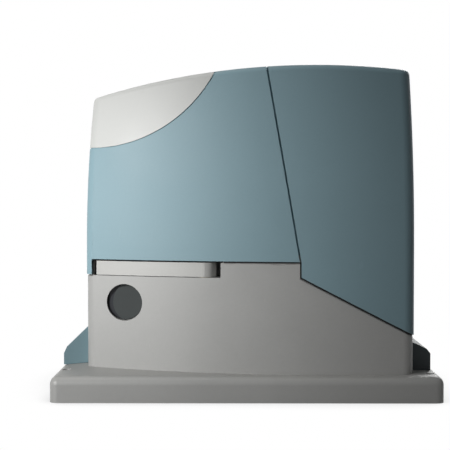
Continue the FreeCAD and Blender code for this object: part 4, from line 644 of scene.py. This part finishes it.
encoderRight, encoderFront, encoderTop = encoderBox[1][0], encoderBox[0][1], encoderBox[1][2]
solderX = boardLeft + 0.0045
for index, colour in enumerate(("red", "white", "black")):
    shift = wireLook["shift"] * index
    lead("encoderLead%d" % (index + 1), [
        (encoderRight - 0.003, encoderFront + 0.004 + shift, encoderTop - 0.009),
        (encoderRight + 0.004, encoderFront + 0.001 + shift, encoderTop - 0.007),
        (0.040, -0.040, 0.246 - shift),
        (sideX - 0.001, -0.058, 0.240 - shift),
        (sideX - 0.0008, -0.0715, 0.234 - shift),
        (boardLeft + 0.002, -0.0735, 0.232 - shift),
        (solderX, boardBox[0][1] - 0.002, 0.231 - shift),
        (solderX, boardBox[0][1] + 0.0016, 0.231 - shift),
    ], colour)
print("leads made")


# Repeats made by geometry nodes
def geometryTree(name, inputs):
    tree = bpy.data.node_groups.new(name, "GeometryNodeTree")
    for label, kind in inputs:
        tree.interface.new_socket(label, in_out="INPUT", socket_type=kind)
    tree.interface.new_socket("Geometry", in_out="OUTPUT", socket_type="NodeSocketGeometry")
    return tree, tree.nodes.new("NodeGroupInput").outputs, tree.nodes.new("NodeGroupOutput").inputs


def grownMesh(name, tree, values, material):
    # Runs the tree on an empty mesh and keeps the result as a plain mesh
    holder = bpy.data.objects.new(name + "Grower", bpy.data.meshes.new(name + "Start"))
    bpy.context.scene.collection.objects.link(holder)
    grower = holder.modifiers.new("grow", "NODES")
    grower.node_group = tree
    for item in tree.interface.items_tree:
        if item.item_type == "SOCKET" and item.in_out == "INPUT" and item.name in values:
            grower[item.identifier] = values[item.name]
    holder.update_tag()
    bpy.context.view_layer.update()
    mesh = bpy.data.meshes.new_from_object(holder.evaluated_get(bpy.context.evaluated_depsgraph_get()))
    bpy.data.objects.remove(holder)
    made = placeMesh(name, mesh, material)
    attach(made, "drive_unit")
    return made


gridInputs = [
    ("Middle", "NodeSocketVector"), ("Width", "NodeSocketFloat"), ("Height", "NodeSocketFloat"),
    ("Columns", "NodeSocketInt"), ("Rows", "NodeSocketInt"), ("Share Left Out", "NodeSocketFloat"),
    ("Seed", "NodeSocketInt"), ("Finish", "NodeSocketMaterial")]


def finishTree(tree, start, end, geometry):
    whole = node(tree, "GeometryNodeRealizeInstances")
    link(tree, geometry, whole.inputs["Geometry"])
    painted = node(tree, "GeometryNodeSetMaterial")
    link(tree, whole.outputs["Geometry"], painted.inputs["Geometry"])
    link(tree, start["Finish"], painted.inputs["Material"])
    link(tree, painted.outputs["Geometry"], end["Geometry"])


def gridPoints(tree, start):
    # Points of an upright grid on the board's face, with a share of them left out
    grid = node(tree, "GeometryNodeMeshGrid")
    link(tree, start["Width"], grid.inputs["Size X"])
    link(tree, start["Height"], grid.inputs["Size Y"])
    link(tree, start["Columns"], grid.inputs["Vertices X"])
    link(tree, start["Rows"], grid.inputs["Vertices Y"])
    stand = node(tree, "GeometryNodeTransform")
    stand.inputs["Rotation"].default_value = (math.radians(90), 0.0, 0.0)
    link(tree, grid.outputs["Mesh"], stand.inputs["Geometry"])
    link(tree, start["Middle"], stand.inputs["Translation"])
    chance = node(tree, "FunctionNodeRandomValue", data_type="BOOLEAN")
    link(tree, start["Share Left Out"], chance.inputs["Probability"])
    link(tree, start["Seed"], chance.inputs["Seed"])
    thin = node(tree, "GeometryNodeDeleteGeometry", domain="POINT")
    link(tree, stand.outputs["Geometry"], thin.inputs["Geometry"])
    link(tree, chance.outputs[3], thin.inputs["Selection"])
    return thin.outputs["Geometry"]


def rowTree():
    # Flat solder drops on the points of a grid
    tree, start, end = geometryTree("solderRows", gridInputs + [("Radius", "NodeSocketFloat")])
    drop = node(tree, "GeometryNodeMeshUVSphere")
    drop.inputs["Segments"].default_value = 10
    drop.inputs["Rings"].default_value = 6
    link(tree, start["Radius"], drop.inputs["Radius"])
    flat = node(tree, "GeometryNodeTransform")
    flat.inputs["Scale"].default_value = (1.0, 0.55, 1.0)
    link(tree, drop.outputs["Mesh"], flat.inputs["Geometry"])
    spread = node(tree, "GeometryNodeInstanceOnPoints")
    link(tree, gridPoints(tree, start), spread.inputs["Points"])
    link(tree, flat.outputs["Geometry"], spread.inputs["Instance"])
    finishTree(tree, start, end, spread.outputs["Instances"])
    return tree


def chipTree():
    # Small surface parts on the points of a grid, each upright or lying
    tree, start, end = geometryTree("smallChips", gridInputs + [("Chip Size", "NodeSocketVector")])
    chip = node(tree, "GeometryNodeMeshCube")
    link(tree, start["Chip Size"], chip.inputs["Size"])
    turn = node(tree, "FunctionNodeRandomValue", data_type="INT")
    turn.inputs[4].default_value = 0
    turn.inputs[5].default_value = 1
    link(tree, start["Seed"], turn.inputs["Seed"])
    quarter = maths(tree, "MULTIPLY", turn.outputs[2], math.radians(90))
    tilt = node(tree, "ShaderNodeCombineXYZ")
    link(tree, quarter, tilt.inputs["Y"])
    spread = node(tree, "GeometryNodeInstanceOnPoints")
    link(tree, gridPoints(tree, start), spread.inputs["Points"])
    link(tree, chip.outputs["Mesh"], spread.inputs["Instance"])
    link(tree, tilt.outputs[0], spread.inputs["Rotation"])
    finishTree(tree, start, end, spread.outputs["Instances"])
    return tree


def turnTree():
    # Rounded turns of wire, stacked upwards round a middle line
    tree, start, end = geometryTree("wireTurns", [
        ("Middle", "NodeSocketVector"), ("Half Width", "NodeSocketFloat"), ("Reach", "NodeSocketFloat"),
        ("Corner", "NodeSocketFloat"), ("Turns", "NodeSocketInt"), ("Pitch", "NodeSocketFloat"),
        ("Wire Radius", "NodeSocketFloat"), ("Seed", "NodeSocketInt"), ("Finish", "NodeSocketMaterial")])
    loop = node(tree, "GeometryNodeCurvePrimitiveQuadrilateral", mode="RECTANGLE")
    link(tree, maths(tree, "MULTIPLY", start["Half Width"], 2.0), loop.inputs["Width"])
    link(tree, maths(tree, "MULTIPLY", start["Reach"], 2.0), loop.inputs["Height"])
    rounded = node(tree, "GeometryNodeFilletCurve", mode="POLY")
    rounded.inputs["Count"].default_value = 5
    link(tree, loop.outputs["Curve"], rounded.inputs["Curve"])
    link(tree, start["Corner"], rounded.inputs["Radius"])
    ladder = node(tree, "GeometryNodeMeshLine", mode="OFFSET", count_mode="TOTAL")
    link(tree, start["Turns"], ladder.inputs["Count"])
    link(tree, start["Middle"], ladder.inputs["Start Location"])
    climb = node(tree, "ShaderNodeCombineXYZ")
    link(tree, start["Pitch"], climb.inputs["Z"])
    link(tree, climb.outputs[0], ladder.inputs["Offset"])
    slack = node(tree, "FunctionNodeRandomValue", data_type="FLOAT_VECTOR")
    slack.inputs[0].default_value = (0.998, 0.998, 1.0)
    slack.inputs[1].default_value = (1.0, 1.0, 1.0)
    link(tree, start["Seed"], slack.inputs["Seed"])
    stack = node(tree, "GeometryNodeInstanceOnPoints")
    link(tree, ladder.outputs["Mesh"], stack.inputs["Points"])
    link(tree, rounded.outputs["Curve"], stack.inputs["Instance"])
    link(tree, slack.outputs[0], stack.inputs["Scale"])
    whole = node(tree, "GeometryNodeRealizeInstances")
    link(tree, stack.outputs["Instances"], whole.inputs["Geometry"])
    section = node(tree, "GeometryNodeCurvePrimitiveCircle", mode="RADIUS")
    section.inputs["Resolution"].default_value = 8
    link(tree, start["Wire Radius"], section.inputs["Radius"])
    tube = node(tree, "GeometryNodeCurveToMesh")
    link(tree, whole.outputs["Geometry"], tube.inputs["Curve"])
    link(tree, section.outputs["Curve"], tube.inputs["Profile Curve"])
    finishTree(tree, start, end, tube.outputs["Mesh"])
    return tree


solderRows, smallChips, wireTurns = rowTree(), chipTree(), turnTree()

# Solder joints and small parts on the board's face. Each row of a table is a field: its label, its middle
# from the board's left and foot, its width and height, its columns and rows, and the share left out.
padLook = {"radius": 0.000825, "chip": (0.0021, 0.0009, 0.0012), "sunk": 0.00005, "seed": 3}
faceY = -0.0676
solderFields = (
    ("A", 0.0205, 0.0260, 0.030, 0.0020, 7, 1, 0.0),
    ("B", 0.0560, 0.0260, 0.025, 0.0020, 6, 1, 0.0),
    ("C", 0.0200, 0.0470, 0.034, 0.0040, 12, 2, 0.2),
    ("D", 0.0270, 0.0985, 0.010, 0.0040, 4, 2, 0.15),
)
chipFields = (
    ("A", 0.0300, 0.0720, 0.046, 0.0030, 14, 2, 0.25),
    ("B", 0.0075, 0.0860, 0.004, 0.0120, 2, 4, 0.2),
    ("C", 0.0370, 0.0895, 0.012, 0.0060, 4, 2, 0.2),
    ("D", 0.0200, 0.1120, 0.030, 0.0060, 8, 3, 0.3),
)


def boardField(kind, tree, field, y, size, material):
    label, x, z, width, height, columns, rows, leftOut = field
    values = {"Middle": (boardLeft + x, y, boardFoot + z), "Width": width, "Height": height,
              "Columns": columns, "Rows": rows, "Share Left Out": leftOut, "Seed": padLook["seed"],
              "Finish": material}
    values.update(size)
    return grownMesh(kind + label, tree, values, material)


for field in solderFields:
    joints = boardField("solderJoints", solderRows, field, faceY, {"Radius": padLook["radius"]},
                        materials["solder"])
chipY = faceY - padLook["chip"][1] / 2 + padLook["sunk"]
for field in chipFields:
    chips = boardField("smallChips", smallChips, field, chipY, {"Chip Size": padLook["chip"]},
                       materials["parts_dark"])
print("board repeats made")

# Wire turns round the transformer's winding. Foot and top are the heights of the first and last turn.
turnLook = {"turns": 24, "wire": 0.00052, "clear": 0.00005, "foot": 0.0414, "top": 0.0718, "corner": 0.006,
            "reach": 0.011, "inset": 0.0004, "seed": 3}
coreMiddle = (coreBox[0][1] + coreBox[1][1]) / 2
stackHalf = (coreBox[1][1] - coreBox[0][1]) / 2
windingHalf = (windingBox[1][0] - windingBox[0][0]) / 2
turns = grownMesh("windingTurns", wireTurns, {
    "Middle": (windingMiddle, coreMiddle, turnLook["foot"]), "Half Width": windingHalf - turnLook["inset"],
    "Reach": stackHalf + turnLook["reach"] + turnLook["clear"], "Corner": turnLook["corner"],
    "Turns": turnLook["turns"], "Pitch": (turnLook["top"] - turnLook["foot"]) / (turnLook["turns"] - 1),
    "Wire Radius": turnLook["wire"], "Seed": turnLook["seed"], "Finish": materials["copper"],
}, materials["copper"])
print("winding turns made", len(turns.data.polygons))


# Floor, lights, surroundings and camera
floorLook = {"half": 3.0, "dark": 0.05, "light": 0.06, "shadeReach": 0.06}


def chooseByRay(tree, forLamps, forSight):
    # The first shader takes the lamps' light, the second is what the camera and mirrors see
    seen = node(tree, "ShaderNodeLightPath")
    looks = maths(tree, "MAXIMUM", seen.outputs["Is Camera Ray"], seen.outputs["Is Glossy Ray"])
    looks = maths(tree, "MAXIMUM", looks, seen.outputs["Is Transmission Ray"])
    choose = node(tree, "ShaderNodeMixShader")
    link(tree, looks, choose.inputs[0])
    link(tree, forLamps, choose.inputs[1])
    link(tree, forSight, choose.inputs[2])
    return choose.outputs[0]


def floorMaterial():
    # White to the camera and to mirrors, with a painted contact shadow close under the object, dull grey card
    # to the lamps
    made, tree, shader, where = startMaterial("floorWhite")
    soft = noise(tree, where, 6.0, 3.0, 0.5)
    dark, light = floorLook["dark"], floorLook["light"]
    card = mixTone(tree, soft, (dark, dark, dark, 1.0), (light, light, light, 1.0))
    link(tree, card, shader.inputs["Base Color"])
    shader.inputs["Roughness"].default_value = 0.9
    # Painted contact shadow: the white that the camera sees is dimmed where ambient occlusion finds the
    # object close by
    near = node(tree, "ShaderNodeAmbientOcclusion", samples=8)
    near.inputs["Distance"].default_value = floorLook["shadeReach"]
    glow = node(tree, "ShaderNodeEmission")
    link(tree, remap(tree, near.outputs["AO"], 0.25, 0.85, 0.62, 1.0), glow.inputs["Strength"])
    surface = chooseByRay(tree, shader.outputs[0], glow.outputs[0])
    link(tree, surface, tree.nodes["Material Output"].inputs["Surface"])
    return made


half = floorLook["half"]
floorMesh = bpy.data.meshes.new("floor")
floorCorners = [(-half, -half, 0), (half, -half, 0), (half, half, 0), (-half, half, 0)]
floorMesh.from_pydata(floorCorners, [], [(0, 1, 2, 3)])
floorMesh.materials.append(floorMaterial())
floor = bpy.data.objects.new("floor", floorMesh)
bpy.context.scene.collection.objects.link(floor)

# Lamps: where each stands, what it is aimed at, its width in metres, its watts and its beam in degrees
lamps = {
    "keyLight": {"place": (-0.76, -0.86, 0.37), "aim": (-0.215, -0.09, 0.162), "size": 0.22, "power": 0.60,
                 "spread": 36.5},
    "fillLight": {"place": (0.2, -1.5, 0.8), "aim": (0.0, 0.0, 0.15), "size": 1.0, "power": 0.04,
                  "spread": 180.0},
    "topLight": {"place": (-0.30, -0.17, 1.05), "aim": (-0.24, -0.13, 0.0), "size": 0.25, "power": 0.9,
                 "spread": 120.0},
    "backLight": {"place": (0.45, 1.10, 0.75), "aim": (0.0, 0.05, 0.15), "size": 0.6, "power": 1.0,
                  "spread": 50.0},
}


def addLight(name, look):
    data = bpy.data.lights.new(name, "AREA")
    data.shape = "SQUARE"
    data.size = look["size"]
    data.energy = look["power"]
    data.spread = math.radians(look["spread"])
    lamp = bpy.data.objects.new(name, data)
    bpy.context.scene.collection.objects.link(lamp)
    lamp.location = look["place"]
    aim = Vector(look["aim"]) - Vector(look["place"])
    lamp.rotation_euler = aim.to_track_quat("-Z", "Y").to_euler()


for name, look in lamps.items():
    addLight(name, look)

# A faint cool light all round, seen as white by the camera and mirrors
world = bpy.data.worlds.new("studio")
bpy.context.scene.world = world
world.use_nodes = True
sky = world.node_tree
sky.nodes.clear()
out = node(sky, "ShaderNodeOutputWorld")
ambient = node(sky, "ShaderNodeBackground")
ambient.inputs["Color"].default_value = (0.9, 0.95, 1.0, 1.0)
ambient.inputs["Strength"].default_value = 0.01
white = node(sky, "ShaderNodeBackground")
white.inputs["Color"].default_value = (1.0, 1.0, 1.0, 1.0)
white.inputs["Strength"].default_value = 1.0
link(sky, chooseByRay(sky, ambient.outputs[0], white.outputs[0]), out.inputs[0])

# Place in metres, turns in degrees, lens and sensor in millimetres
cameraLook = {"place": (-0.012, -1.006, 0.1726), "yaw": 0.385, "pitch": -1.53, "lens": 86.88, "sensor": 36.0}
cameraData = bpy.data.cameras.new("camera")
cameraData.lens = cameraLook["lens"]
cameraData.sensor_width = cameraLook["sensor"]
camera = bpy.data.objects.new("camera", cameraData)
bpy.context.scene.collection.objects.link(camera)
camera.location = cameraLook["place"]
pitch, yaw = math.radians(cameraLook["pitch"]), math.radians(cameraLook["yaw"])
gaze = Vector((-math.sin(yaw) * math.cos(pitch), math.cos(yaw) * math.cos(pitch), math.sin(pitch)))
camera.rotation_euler = gaze.to_track_quat("-Z", "Y").to_euler()
bpy.context.scene.camera = camera
bpy.context.scene.view_settings.view_transform = "Standard"
print("stage, lights and camera set")
